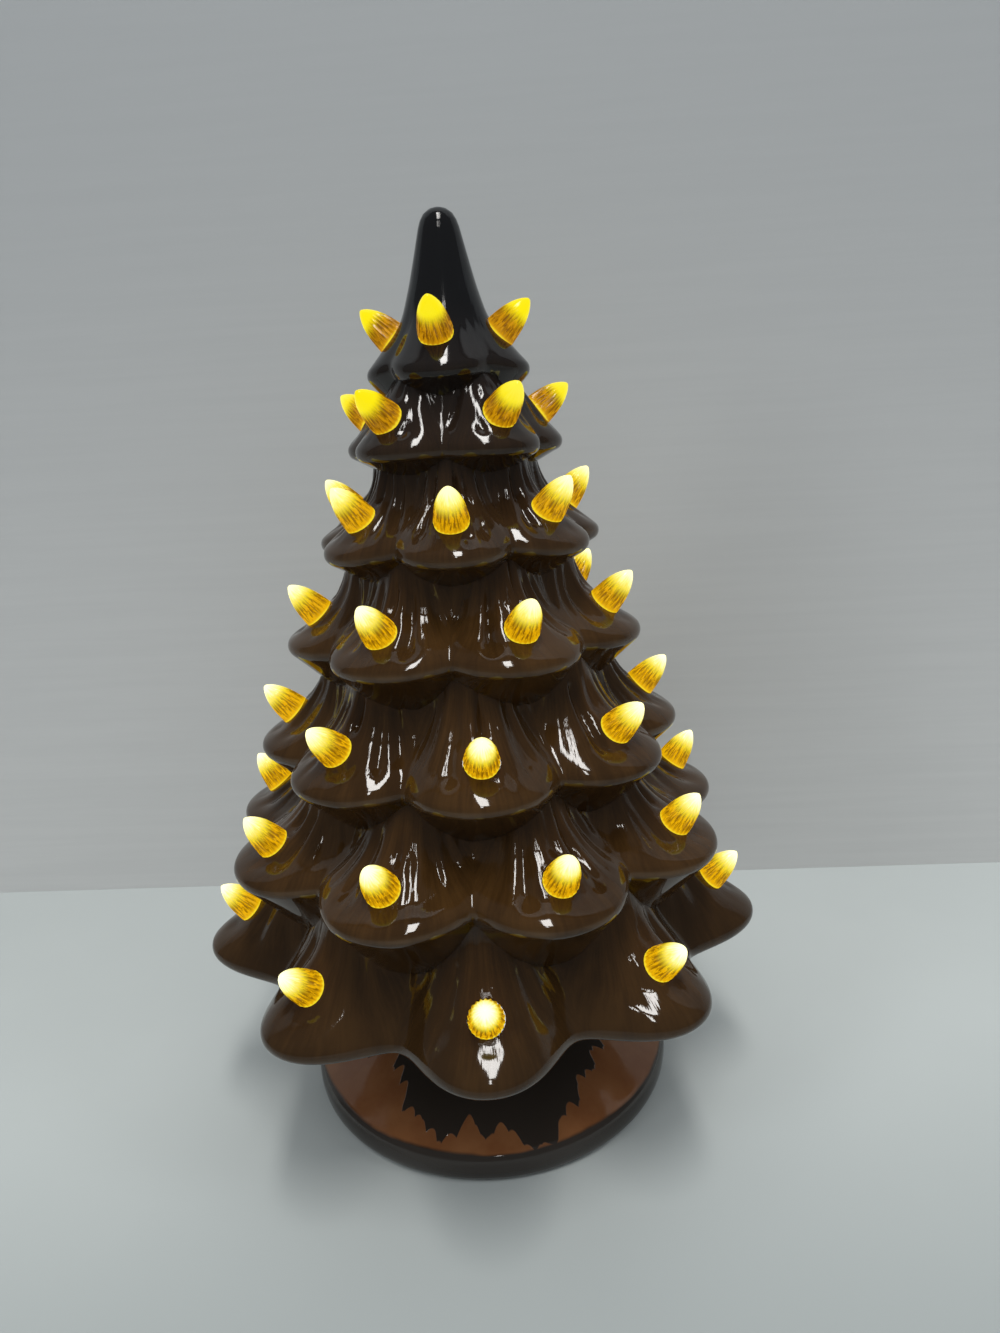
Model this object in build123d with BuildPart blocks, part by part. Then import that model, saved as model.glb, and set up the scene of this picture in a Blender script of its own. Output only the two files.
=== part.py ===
"""A lit ceramic table tree in dark glaze, on a round stand with a battery lamp inside.

The hollow tree carries rings of plastic bulbs whose pegs sit in holes in its lobes. Its floor
rests on the trunk of the stand, and lifts off over the lamp. Millimetres, +Z up, the table at
Z = 0, the front of the tree towards -Y. Angles around the tree count from the front to +X.
"""

import os
from collections import namedtuple
from math import cos, hypot, pi, radians, sin, tan

from build123d import *

os.makedirs("parts", exist_ok=True)

# Whole tree: its top, and the underside that rests on the trunk
top_z = 356.0
seat_z = 66.5

# Tiers of the tree, from the top one down: the number of lobes, the turn of the first lobe, the
# radius of the lobes' tips, their height as a share of the way from the lowest tips to the top,
# the fall of their ridges in degrees, the depth of the creases between lobes, the way up the
# ridge from the tip to the bulb, and how far the underside lies below the tips and inside them
Tier = namedtuple("Tier", "lobes turn tip_r rise fall crease bulb_up under_h under_in")
tiers = [
    Tier(4, -10.0, 28.5, 0.813, 47.0, 8.0, 12.5, 11.0, 3.0),
    Tier(5, 30.0, 41.0, 0.713, 53.3, 9.0, 11.2, 17.0, 8.5),
    Tier(7, -3.0, 54.5, 0.588, 40.7, 9.5, 14.6, 18.0, 10.0),
    Tier(7, 20.0, 68.5, 0.453, 41.5, 12.0, 15.1, 20.0, 9.5),
    Tier(8, 2.0, 84.0, 0.301, 44.4, 15.0, 17.1, 19.5, 10.0),
    Tier(9, 17.5, 101.5, 0.168, 35.6, 18.0, 16.1, 23.0, 12.0),
    Tier(9, -1.0, 114.5, 0.0, 43.4, 22.0, 22.0, 9.0, 3.0),
]
lip_out = 2.5  # the rounded lip stands out from the tip of the ridge
lip_drop = 4.0  # from the tip of the ridge down to the widest line of the lip
crease_wall = 5.5  # wall under a crease, level
lobe_wall = 8.0  # wall under a lobe, level
floor_t = 5.0  # floor of each tier
tier_lap = 3.0  # each tier reaches up past the floor of the one above

# Smooth top of the tree
top_round_r = 6.0
top_base_r = 15.5
top_wall = 5.5
top_cap = 16.5  # solid part of the tip
top_hollow_r = 1.0

# Bulbs
bulb_r = 6.3
bulb_l = 17.2
peg_r = 3.1
peg_l = 9.0
hole_clear = 0.25
seat_sink = 1.2  # the bulb's flat seat lies this far under the ridge
bulb_chamfer = 0.4
bulb_belly_z = 2.4
bulb_waist_r = 4.5
bulb_waist_z = 10.7

# Stand: foot, rim, flared trunk and spigot
felt_t = 1.2
foot_w = 8.6
rim_over = 4.3  # the rim stands out over the foot
rim_mid_z = 7.0
rim_top_in = 2.8
rim_top_z = 13.0
rim_round = 0.3  # fullness of the two arcs of the rim
seat_w = 9.6
spigot_wall = 7.4
spigot_h = 7.0
bore_r = 19.0
stand_wall = 5.5
tree_clear = 0.6  # around the spigot in the hole of the tree's floor

# Battery tray in the stand
plate_z = 4.2
plate_r = 66.0
plate_t = 3.0
plate_clear = 0.4
ledge_w = 4.5
bay_clear_r = 2.0  # around the corners of the bay in the hollow of the stand
bay_clear_z = 0.6
tray_wall = 1.7
ceiling_t = 1.8
cell_r = 7.1
cell_l = 50.5
nub_r = 2.75
nub_l = 1.3
cell_pitch = 15.0
cell_gap = 0.3
contact_room = 3.0  # at each end of a cell
contact_t = 0.5
contact_w = 10.0

# Battery door
door_t = 2.2
door_gap = 0.3
hinge_pin_r = 0.6
hinge_pin_l = 1.3
hinge_clear = 0.08
notch_r = 7.0

# Switch and its board, beside the battery bay
board_gap = 2.9  # between the bay and the board
switch_l = 13.0
switch_w = 7.0
switch_h = 5.0
switch_travel = 3.0
slider_l = 3.0
slider_w = 2.6
slider_out = 1.6  # below the plate
slider_flange = 0.8
slide_clear = 0.2
board_l = 30.0
board_w = 14.0
board_t = 1.6
standoff_r = 1.8
standoff_inset = 2.5
chip_l = 6.0
chip_w = 4.0
chip_h = 1.6
chip_x = 10.0
resistor_w = 2.0

# Lamp on the trunk
post_r = 7.0
post_bore_r = 5.0
post_foot_r = 15.0
post_foot_t = 3.5
flange_in = 2.4  # the flange lies inside the edge of the spigot
flange_t = 3.0
lead_r = 0.8
lead_x = 2.2
lead_rise = 11.0  # over the tray, where the leads turn into the post
lead_inset = 2.0  # from the edge of the board
lead_bend_r = 8.0
screw_r = 1.2
screw_head_r = 2.2
screw_head_h = 1.6
screw_x = 8.0
screw_clear = 0.05
led_ledge_h = 2.0
led_ledge_w = 2.0
led_board_t = 1.6
led_side = 5.0
led_h = 1.4
led_ring_r = 10.5
led_count = 6
dome_r = 21.0
dome_h = 42.0
dome_t = 1.6
dome_clear = 0.3
dome_rib_h = 3.0
dome_rib_w = 2.3

# Levels and places that follow from the sizes above
skirt_z = seat_z + tiers[-1].under_h  # tips of the lowest tier
spigot_top_z = seat_z + spigot_h
plate_top_z = plate_z + plate_t
recess_r = plate_r + plate_clear
foot_out_r = recess_r + foot_w
rim_r = foot_out_r + rim_over
rim_top_r = rim_r - rim_top_in
spigot_r = bore_r + spigot_wall
trunk_r = spigot_r + seat_w
door_top_z = plate_z + door_t
cell_z = door_top_z + cell_gap + cell_r
ceiling_z = cell_z + cell_r + cell_gap
tray_top_z = ceiling_z + ceiling_t
bay_l = cell_l + 2 * contact_room
bay_w = 2 * cell_pitch + 2 * cell_r + 2 * cell_gap
flare_r = hypot(bay_l / 2 + tray_wall, bay_w / 2 + tray_wall) + bay_clear_r + stand_wall
flare_z = tray_top_z + bay_clear_z + stand_wall
trunk_bend_z = (flare_z + seat_z) / 2
hinge_x = -bay_l / 2 + door_gap + door_t / 2
hinge_z = plate_z + door_t / 2
board_z = plate_top_z + switch_h
board_edge_y = -(bay_w / 2 + tray_wall + board_gap)
switch_y = board_edge_y - board_w / 2
lead_y = board_edge_y - lead_inset
lead_turn_z = tray_top_z + lead_rise
flange_r = spigot_r - flange_in
flange_z = spigot_top_z
dome_rib_r = dome_r - dome_t - dome_clear
led_board_r = dome_rib_r - dome_rib_w - dome_clear
led_board_z = flange_z + flange_t + led_ledge_h
cell_rows = [-cell_pitch, 0.0, cell_pitch]
cell_turns = [0.0, 180.0, 0.0]  # neighbouring cells lie head to tail


def tip_z(tier):
    """Height of the tips of the lobes of a tier."""
    return skirt_z + tier.rise * (top_z - skirt_z)


def tier_bottom(tier):
    """Height of the flat underside of a tier."""
    return tip_z(tier) - tier.under_h


def ridge_r(tier, z):
    """Radius of the ridge of a lobe at a height above its tip."""
    return tier.tip_r - (z - tip_z(tier)) / tan(radians(tier.fall))


def tier_top(index):
    """Height at which a tier ends, inside the one above or where it meets the smooth top."""
    tier = tiers[index]
    if index == 0:
        return tip_z(tier) + (tier.tip_r - top_base_r) * tan(radians(tier.fall))
    return tier_bottom(tiers[index - 1]) + floor_t + tier_lap


def lobe_sections(index):
    """Levels of a tier with the radius of its lobes there: top, tip, lip and underside."""
    tier = tiers[index]
    top = tier_top(index)
    return [
        (top, ridge_r(tier, top)),
        (tip_z(tier), tier.tip_r),
        (tip_z(tier) - lip_drop, tier.tip_r + lip_out),
        (tier_bottom(tier), tier.tip_r - tier.under_in),
    ]


def hollow_sections(index):
    """Levels of the hollow in a tier, from the same top down to its floor."""
    tier = tiers[index]
    top = tier_top(index)
    return [
        (top, ridge_r(tier, top)),
        (tip_z(tier), tier.tip_r),
        (tier_bottom(tier) + floor_t, tier.tip_r - tier.under_in / 2),
    ]


def lobed_sketch(tier, z, lobe_r, at_lobe, at_crease):
    """A ring of arcs that meet in creases, drawn in by the two walls given."""
    crease_r = lobe_r * (1 - tier.crease / tier.tip_r) - at_crease
    half = pi / tier.lobes
    first = radians(tier.turn - 90)
    with BuildSketch(Plane.XY.offset(z)) as ring:
        with BuildLine():
            for i in range(tier.lobes):
                middle = first + 2 * half * i
                start = (crease_r * cos(middle - half), crease_r * sin(middle - half))
                crown = ((lobe_r - at_lobe) * cos(middle), (lobe_r - at_lobe) * sin(middle))
                end = (crease_r * cos(middle + half), crease_r * sin(middle + half))
                ThreePointArc(start, crown, end)
        make_face()
    return ring.sketch


def bulb_planes(tier):
    """Seats of the bulbs of a tier: on the ridge of each lobe and square to it."""
    fall = radians(tier.fall)
    seat_r = tier.tip_r - tier.bulb_up * cos(fall) - seat_sink * sin(fall)
    seat_height = tip_z(tier) + tier.bulb_up * sin(fall) - seat_sink * cos(fall)
    planes = []
    for i in range(tier.lobes):
        angle = radians(tier.turn - 90 + 360 * i / tier.lobes)
        planes.append(
            Plane(
                origin=(seat_r * cos(angle), seat_r * sin(angle), seat_height),
                x_dir=(-sin(angle), cos(angle), 0),
                z_dir=(sin(fall) * cos(angle), sin(fall) * sin(angle), cos(fall)),
            )
        )
    return planes


# Tree: lobed tiers and a smooth top around one hollow, holed for the bulbs and for the lamp
top_joint_z = tier_top(0)
with BuildPart() as tree_shell:
    for index, tier in enumerate(tiers):
        loft([lobed_sketch(tier, z, lobe_r, 0, 0) for z, lobe_r in lobe_sections(index)], ruled=True)
    with BuildSketch(Plane.XZ):
        with BuildLine():
            crown_z = top_z - top_round_r
            Line((0, tier_bottom(tiers[0])), (0, top_z))
            RadiusArc((0, top_z), (top_round_r, crown_z), top_round_r)
            Line((top_round_r, crown_z), (top_base_r, top_joint_z))
            Line((top_base_r, top_joint_z), (top_base_r, tier_bottom(tiers[0])))
            Line((top_base_r, tier_bottom(tiers[0])), (0, tier_bottom(tiers[0])))
        make_face()
    revolve(axis=Axis.Z)
    for index, tier in enumerate(tiers):
        levels = hollow_sections(index)
        inner = [lobed_sketch(tier, z, lobe_r, lobe_wall, crease_wall) for z, lobe_r in levels]
        loft(inner, ruled=True, mode=Mode.SUBTRACT)
    with Locations((0, 0, tip_z(tiers[0]))):
        Cone(
            top_base_r - top_wall,
            top_hollow_r,
            top_z - top_cap - tip_z(tiers[0]),
            align=(Align.CENTER, Align.CENTER, Align.MIN),
            mode=Mode.SUBTRACT,
        )
    with Locations((0, 0, seat_z)):
        Cylinder(
            spigot_r + tree_clear,
            floor_t,
            align=(Align.CENTER, Align.CENTER, Align.MIN),
            mode=Mode.SUBTRACT,
        )
    for tier in tiers:
        with Locations(*bulb_planes(tier)):
            Cylinder(
                bulb_r + hole_clear,
                bulb_l / 2,
                align=(Align.CENTER, Align.CENTER, Align.MIN),
                mode=Mode.SUBTRACT,
            )
            Cylinder(peg_r + hole_clear, 2 * (peg_l + hole_clear), mode=Mode.SUBTRACT)
tree_shell.part.label = "tree_shell"
export_step(tree_shell.part, "parts/tree_shell.step")

# One bulb: a flame on a flat seat, with a peg below
with BuildPart() as bulb:
    with BuildSketch(Plane.XZ):
        with BuildLine():
            belly = (bulb_r, bulb_belly_z)
            Line((0, -peg_l), (peg_r, -peg_l))
            Line((peg_r, -peg_l), (peg_r, 0))
            Line((peg_r, 0), (bulb_r - bulb_chamfer, 0))
            Line((bulb_r - bulb_chamfer, 0), belly)
            Spline(belly, (bulb_waist_r, bulb_waist_z), (0, bulb_l), tangents=[(0, 1), (-1, 0)])
            Line((0, bulb_l), (0, -peg_l))
        make_face()
    revolve(axis=Axis.Z)

# Rings of bulbs, one for each tier
for number, tier in enumerate(tiers, start=1):
    with BuildPart() as ring_of_bulbs:
        with Locations(*bulb_planes(tier)):
            add(bulb.part)
    ring_of_bulbs.part.label = f"tier_{number}_bulbs"
    export_step(ring_of_bulbs.part, f"parts/tier_{number}_bulbs.step")

# Stand: foot ring, rim, flared trunk with a seat for the tree, hollow below
with BuildPart() as base_stand:
    with BuildSketch(Plane.XZ):
        with BuildLine():
            hollow_r = recess_r - ledge_w
            trunk_in_r = trunk_r - stand_wall
            ThreePointArc(
                (foot_out_r, felt_t),
                (rim_r - rim_over * rim_round, felt_t + (rim_mid_z - felt_t) * rim_round),
                (rim_r, rim_mid_z),
            )
            ThreePointArc(
                (rim_r, rim_mid_z),
                (rim_r - rim_top_in * rim_round, rim_top_z - (rim_top_z - rim_mid_z) * rim_round),
                (rim_top_r, rim_top_z),
            )
            Line((rim_top_r, rim_top_z), (flare_r, flare_z))
            Spline(
                (flare_r, flare_z),
                (trunk_r, trunk_bend_z),
                tangents=[(flare_r - rim_top_r, flare_z - rim_top_z), (0, 1)],
            )
            Polyline(
                (trunk_r, trunk_bend_z),
                (trunk_r, seat_z),
                (spigot_r, seat_z),
                (spigot_r, spigot_top_z),
                (bore_r, spigot_top_z),
                (bore_r, seat_z - stand_wall),
                (trunk_in_r, seat_z - 2 * stand_wall),
                (trunk_in_r, trunk_bend_z),
                (flare_r - stand_wall, flare_z - stand_wall),
                (hollow_r, rim_top_z),
                (hollow_r, plate_top_z),
                (recess_r, plate_top_z),
                (recess_r, felt_t),
                (foot_out_r, felt_t),
            )
        make_face()
    revolve(axis=Axis.Z)
base_stand.part.label = "base_stand"
export_step(base_stand.part, "parts/base_stand.step")

# Felt ring under the foot
with BuildPart() as felt_ring:
    with BuildSketch():
        Circle(foot_out_r)
        Circle(recess_r, mode=Mode.SUBTRACT)
    extrude(amount=felt_t)
felt_ring.part.label = "felt_ring"
export_step(felt_ring.part, "parts/felt_ring.step")

# Battery tray: round plate against the ledge of the stand, with the bay on it
with BuildPart() as battery_tray:
    with BuildSketch(Plane.XY.offset(plate_z)):
        Circle(plate_r)
    extrude(amount=plate_t)
    with BuildSketch(Plane.XY.offset(plate_z)):
        Rectangle(bay_l + 2 * tray_wall, bay_w + 2 * tray_wall)
    extrude(amount=tray_top_z - plate_z)
    with BuildSketch(Plane.XY.offset(plate_top_z)):
        with Locations((0, switch_y)):
            with GridLocations(board_l - 2 * standoff_inset, board_w - 2 * standoff_inset, 2, 2):
                Circle(standoff_r)
    extrude(amount=switch_h)
    with BuildSketch(Plane.XY.offset(plate_z)):
        Rectangle(bay_l, bay_w)
    extrude(amount=ceiling_z - plate_z, mode=Mode.SUBTRACT)
    with BuildSketch(Plane.XY.offset(plate_z)):
        with Locations((0, switch_y)):
            Rectangle(slider_l + switch_travel + 2 * slide_clear, slider_w + 2 * slide_clear)
        with GridLocations(2 * screw_x, cell_pitch, 2, 2):
            Circle(screw_r + hole_clear)
    extrude(amount=tray_top_z - plate_z, mode=Mode.SUBTRACT)
    with BuildSketch(Plane.XY.offset(plate_z)):
        with Locations((bay_l / 2, 0)):
            Circle(notch_r)
        with Locations((bay_l / 2 - notch_r, 0)):
            Rectangle(2 * notch_r, 2 * notch_r, mode=Mode.SUBTRACT)
    extrude(amount=door_t / 2, mode=Mode.SUBTRACT)
    with Locations(Location((hinge_x, 0, hinge_z), (90, 0, 0))):
        Cylinder(
            hinge_pin_r + hinge_clear,
            bay_w + 2 * (hinge_pin_l + hinge_clear),
            mode=Mode.SUBTRACT,
        )
battery_tray.part.label = "battery_tray"
export_step(battery_tray.part, "parts/battery_tray.step")

# Battery door: a plate with a round hinge edge and a pin at each end of it
door_w = bay_w - 2 * door_gap
with BuildPart() as battery_door:
    with BuildSketch(Plane.XZ.offset(-door_w / 2)):
        with BuildLine():
            free_x = bay_l / 2 - door_gap
            ThreePointArc((hinge_x, plate_z), (hinge_x - door_t / 2, hinge_z), (hinge_x, door_top_z))
            Polyline((hinge_x, door_top_z), (free_x, door_top_z), (free_x, plate_z), (hinge_x, plate_z))
        make_face()
    extrude(amount=door_w)
    with Locations(Location((hinge_x, 0, hinge_z), (90, 0, 0))):
        Cylinder(hinge_pin_r, bay_w + 2 * hinge_pin_l)
battery_door.part.label = "battery_door"
export_step(battery_door.part, "parts/battery_door.step")

# Three cells, head to tail
for number, (row, turn) in enumerate(zip(cell_rows, cell_turns), start=1):
    with BuildPart() as cell:
        with Locations(Location((0, row, cell_z), (0, 0, turn))):
            with Locations(Location((-nub_l / 2, 0, 0), (0, 90, 0))):
                Cylinder(cell_r, cell_l - nub_l)
            with Locations(Location(((cell_l - nub_l) / 2, 0, 0), (0, 90, 0))):
                Cylinder(nub_r, nub_l)
    cell.part.label = f"cell_{number}"
    export_step(cell.part, f"parts/cell_{number}.step")

# Contacts on the end walls of the bay: a dimpled plate at each nub, a bent leaf at each flat end
end_x = bay_l / 2
touch_x = cell_l / 2 + cell_gap
with BuildPart() as positive_contacts:
    for row, turn in zip(cell_rows, cell_turns):
        with Locations(Location((0, row, cell_z), (0, 0, turn))):
            with Locations((end_x - contact_t / 2, 0, 0)):
                Box(contact_t, contact_w, contact_w)
            with Locations(Location(((end_x + touch_x) / 2, 0, 0), (0, 90, 0))):
                Cylinder(nub_r, end_x - touch_x)
positive_contacts.part.label = "positive_contacts"
export_step(positive_contacts.part, "parts/positive_contacts.step")

with BuildPart() as leaf:
    with BuildSketch(Plane.XZ.offset(-contact_w / 2)):
        with BuildLine():
            back_x = -end_x + contact_t
            rise = contact_w / 2
            Polyline(
                (-end_x, -rise),
                (back_x, -rise),
                (-touch_x, 0),
                (back_x, rise),
                (-end_x, rise),
                close=True,
            )
        make_face()
        with BuildLine():
            Polyline(
                (back_x, rise - 3 * contact_t),
                (-touch_x - 2 * contact_t, 0),
                (back_x, -rise + 3 * contact_t),
                close=True,
            )
        make_face(mode=Mode.SUBTRACT)
    extrude(amount=contact_w)

with BuildPart() as negative_contacts:
    for row, turn in zip(cell_rows, cell_turns):
        with Locations(Location((0, row, cell_z), (0, 0, turn))):
            add(leaf.part)
negative_contacts.part.label = "negative_contacts"
export_step(negative_contacts.part, "parts/negative_contacts.step")

# Slide switch: a body on the plate with a pocket for the slider, which reaches down its slot
pocket_w = slider_w + 2 * slider_flange + 2 * slide_clear
pocket_l = slider_l + 2 * slider_flange + switch_travel + 2 * slide_clear
pocket_h = switch_h / 2
with BuildPart() as switch_body:
    with BuildSketch(Plane.XY.offset(plate_top_z)):
        with Locations((0, switch_y)):
            Rectangle(switch_l, switch_w)
    extrude(amount=switch_h)
    with BuildSketch(Plane.XY.offset(plate_top_z)):
        with Locations((0, switch_y)):
            Rectangle(pocket_l, pocket_w)
    extrude(amount=pocket_h, mode=Mode.SUBTRACT)
switch_body.part.label = "switch_body"
export_step(switch_body.part, "parts/switch_body.step")

slider_x = -switch_travel / 2
with BuildPart() as switch_slider:
    with BuildSketch(Plane.XY.offset(plate_z - slider_out)):
        with Locations((slider_x, switch_y)):
            Rectangle(slider_l, slider_w)
    extrude(amount=plate_top_z - plate_z + slider_out + slide_clear)
    with BuildSketch(Plane.XY.offset(plate_top_z + slide_clear)):
        with Locations((slider_x, switch_y)):
            Rectangle(slider_l + 2 * slider_flange, slider_w + 2 * slider_flange)
    extrude(amount=pocket_h - 2 * slide_clear)
switch_slider.part.label = "switch_slider"
export_step(switch_slider.part, "parts/switch_slider.step")

# Control board on the switch and its standoffs, with a chip and a resistor
with BuildPart() as control_board:
    with BuildSketch(Plane.XY.offset(board_z)):
        with Locations((0, switch_y)):
            Rectangle(board_l, board_w)
    extrude(amount=board_t)
control_board.part.label = "control_board"
export_step(control_board.part, "parts/control_board.step")

with BuildPart() as board_components:
    with BuildSketch(Plane.XY.offset(board_z + board_t)):
        with Locations((-chip_x, switch_y)):
            Rectangle(chip_l, chip_w)
        with Locations((chip_x, switch_y)):
            Rectangle(chip_l, resistor_w)
    extrude(amount=chip_h)
board_components.part.label = "board_components"
export_step(board_components.part, "parts/board_components.step")

# Lamp post: a foot on the tray, a tube up the trunk and a flange on the spigot
with BuildPart() as lamp_post:
    with BuildSketch(Plane.XY.offset(tray_top_z)):
        Circle(post_foot_r)
    extrude(amount=post_foot_t)
    with BuildSketch(Plane.XY.offset(tray_top_z)):
        Circle(post_r)
    extrude(amount=flange_z - tray_top_z)
    with BuildSketch(Plane.XY.offset(flange_z)):
        Circle(flange_r)
    extrude(amount=flange_t)
    with BuildSketch(Plane.XY.offset(flange_z + flange_t)):
        Circle(dome_rib_r)
        Circle(dome_rib_r - dome_rib_w, mode=Mode.SUBTRACT)
    extrude(amount=dome_rib_h)
    with BuildSketch(Plane.XY.offset(flange_z + flange_t)):
        Circle(led_board_r)
        Circle(led_board_r - led_ledge_w, mode=Mode.SUBTRACT)
    extrude(amount=led_ledge_h)
    with BuildSketch(Plane.XY.offset(tray_top_z + post_foot_t)):
        Circle(post_bore_r)
    extrude(amount=flange_z + flange_t - tray_top_z - post_foot_t, mode=Mode.SUBTRACT)
    with BuildSketch(Plane.XY.offset(tray_top_z)):
        with GridLocations(2 * screw_x, cell_pitch, 2, 2):
            Circle(screw_r + screw_clear)
    extrude(amount=post_foot_t, mode=Mode.SUBTRACT)
    with BuildSketch(Plane.XZ):
        with Locations((0, lead_turn_z)):
            Rectangle(2 * (lead_x + 2 * lead_r), 2 * lead_bend_r)
    extrude(amount=post_r, mode=Mode.SUBTRACT)
lamp_post.part.label = "lamp_post"
export_step(lamp_post.part, "parts/lamp_post.step")

# Screws up through the ceiling of the bay into the foot of the post
with BuildPart() as post_screws:
    with BuildSketch(Plane.XY.offset(ceiling_z - screw_head_h)):
        with GridLocations(2 * screw_x, cell_pitch, 2, 2):
            Circle(screw_head_r)
    extrude(amount=screw_head_h)
    with BuildSketch(Plane.XY.offset(ceiling_z)):
        with GridLocations(2 * screw_x, cell_pitch, 2, 2):
            Circle(screw_r)
    extrude(amount=ceiling_t + post_foot_t - screw_clear)
post_screws.part.label = "post_screws"
export_step(post_screws.part, "parts/post_screws.step")

# Lamp board with its light-emitting chips
with BuildPart() as led_board:
    with BuildSketch(Plane.XY.offset(led_board_z)):
        Circle(led_board_r)
    extrude(amount=led_board_t)
led_board.part.label = "led_board"
export_step(led_board.part, "parts/led_board.step")

with BuildPart() as led_chips:
    with BuildSketch(Plane.XY.offset(led_board_z + led_board_t)):
        Rectangle(led_side, led_side)
        with PolarLocations(led_ring_r, led_count):
            Rectangle(led_side, led_side)
    extrude(amount=led_h)
led_chips.part.label = "led_chips"
export_step(led_chips.part, "parts/led_chips.step")

# Frosted dome over the lamp board, around the rib on the flange
with BuildPart() as lamp_dome:
    dome_z = flange_z + flange_t
    with BuildSketch(Plane.XZ):
        with BuildLine():
            shoulder_z = dome_z + dome_h - dome_r
            inner_r = dome_r - dome_t
            Polyline((inner_r, shoulder_z), (inner_r, dome_z), (dome_r, dome_z), (dome_r, shoulder_z))
            RadiusArc((dome_r, shoulder_z), (0, dome_z + dome_h), -dome_r)
            Line((0, dome_z + dome_h), (0, dome_z + dome_h - dome_t))
            RadiusArc((0, dome_z + dome_h - dome_t), (inner_r, shoulder_z), inner_r)
        make_face()
    revolve(axis=Axis.Z)
lamp_dome.part.label = "lamp_dome"
export_step(lamp_dome.part, "parts/lamp_dome.step")

# Two leads from the control board up the post to the lamp board
for name, side in (("lead_plus", 1), ("lead_minus", -1)):
    with BuildPart() as lead:
        with BuildLine() as route:
            FilletPolyline(
                (side * lead_x, lead_y, board_z + board_t),
                (side * lead_x, lead_y, lead_turn_z),
                (side * lead_x, 0, lead_turn_z),
                (side * lead_x, 0, led_board_z),
                radius=lead_bend_r,
            )
        with BuildSketch(Plane(origin=route.line @ 0, z_dir=route.line % 0)):
            Circle(lead_r)
        sweep()
    lead.part.label = name
    export_step(lead.part, f"parts/{name}.step")
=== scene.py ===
"""Dresses the frame of a lit ceramic tree: glazed tiers, fluted bulbs, stand, lamp and stage.

The front of the tree faces -Y. Shapes are worked out in millimetres and set in metres. Angles
around the tree count from the front towards +X.
"""

from collections import namedtuple
from math import acos, atan2, cos, hypot, pi, radians, sin, tan

import bpy
import numpy as np
from bpy.props import FloatProperty, FloatVectorProperty, IntProperty, PointerProperty
from bpy.types import Operator, Panel, PropertyGroup
from mathutils import Matrix, Vector


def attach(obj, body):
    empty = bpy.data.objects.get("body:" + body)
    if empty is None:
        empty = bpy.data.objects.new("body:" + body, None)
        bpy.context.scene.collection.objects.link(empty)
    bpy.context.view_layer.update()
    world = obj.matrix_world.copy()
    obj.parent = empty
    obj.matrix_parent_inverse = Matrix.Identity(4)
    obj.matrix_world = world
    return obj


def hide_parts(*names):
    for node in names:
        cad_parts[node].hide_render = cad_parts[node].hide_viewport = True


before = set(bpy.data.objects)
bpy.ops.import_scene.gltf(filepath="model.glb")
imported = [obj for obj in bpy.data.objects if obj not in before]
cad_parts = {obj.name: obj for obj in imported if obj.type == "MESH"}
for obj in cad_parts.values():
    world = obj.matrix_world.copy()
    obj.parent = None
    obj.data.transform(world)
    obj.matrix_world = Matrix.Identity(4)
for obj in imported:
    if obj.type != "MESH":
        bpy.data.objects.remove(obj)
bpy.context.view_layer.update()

bl_info = {
    "name": "Lit Ceramic Tree",
    "version": (1, 0, 0),
    "blender": (4, 5, 0),
    "location": "3D View > Sidebar > Ceramic Tree",
    "description": "Glazed tiers, bulbs, stand and lamp of a ceramic table tree",
    "category": "Object",
}

MM = 0.001

# Top of the tree, and the underside that rests on the trunk
TOP_Z = 356.0
SEAT_Z = 66.5

# Tiers from the top one down: the number of lobes, the turn of the first one, the radius of their
# tips and its height as a share, the fall of the ridges in degrees, the depth of the creases, the
# way up from the tip to the bulb, how far the underside lies below the tips and inside them, the
# round of the lip, its flare, its lift at the creases, the columns of a lobe, the strength of the
# folds and the glow of the bulbs
Tier = namedtuple(
    "Tier",
    "lobes turn tip_r rise fall crease bulb_up under_h under_in nose flare lift columns folds glow",
)
TIERS = [
    Tier(4, -10.0, 28.5, 0.813, 47.0, 6.2, 12.5, 11.0, 3.0, 3.8, 0.0, 0.6, 48, 0.5, 0.0),
    Tier(5, 30.0, 41.0, 0.713, 53.3, 9.0, 11.2, 10.0, 7.5, 3.5, 1.5, 0.5, 52, 1.0, 0.05),
    Tier(7, -3.0, 54.5, 0.588, 40.7, 9.5, 14.6, 12.0, 9.5, 3.6, 0.5, 0.7, 50, 1.4, 0.85),
    Tier(7, 20.0, 68.5, 0.453, 41.5, 12.0, 15.1, 14.0, 8.5, 3.6, 2.0, 0.8, 58, 1.65, 0.9),
    Tier(8, 2.0, 84.0, 0.301, 44.4, 15.0, 17.1, 15.0, 10.0, 3.6, 3.0, 0.8, 62, 1.65, 0.95),
    Tier(9, 17.5, 101.5, 0.168, 35.6, 18.0, 16.1, 20.0, 12.0, 3.6, 2.5, 0.9, 64, 1.45, 1.0),
    Tier(9, -1.0, 114.5, 0.0, 43.4, 22.0, 22.0, 9.0, 16.5, 3.6, 4.0, 0.25, 62, 1.3, 1.0),
]
LIP_OUT = 2.2  # the lip stands out from the tip of the ridge
FLOOR_T = 5.0
TIER_LAP = 3.0  # each tier reaches up past the floor of the one above
LOBE_WALL = 7.5
CREASE_WALL = 5.5
HOLLOW_IN = 6.0  # a hollow follows the underside in by half of this at most
HOLLOW_COLUMNS = 12
RIDGE_ROWS = 24
NOSE_ROWS = 8
UNDER_ROWS = 3
UNDER_PAST = 9.0  # the undersides run on into the tier below
NECK_IN = 1.6  # a tier's neck stands this far inside the lip above it
NECK_CLEAR = 0.5  # and this far inside the end of the underside above it
NECK_DROP = 1.0  # it ends this far under the tips above it
NECK_BEND = 3.0  # the ridges turn up into the neck this far above their bulbs
NECK_STEPS = 13
TREE_SHARP = 42.0  # edges over this many degrees stay sharp, as with the other pieces

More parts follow.
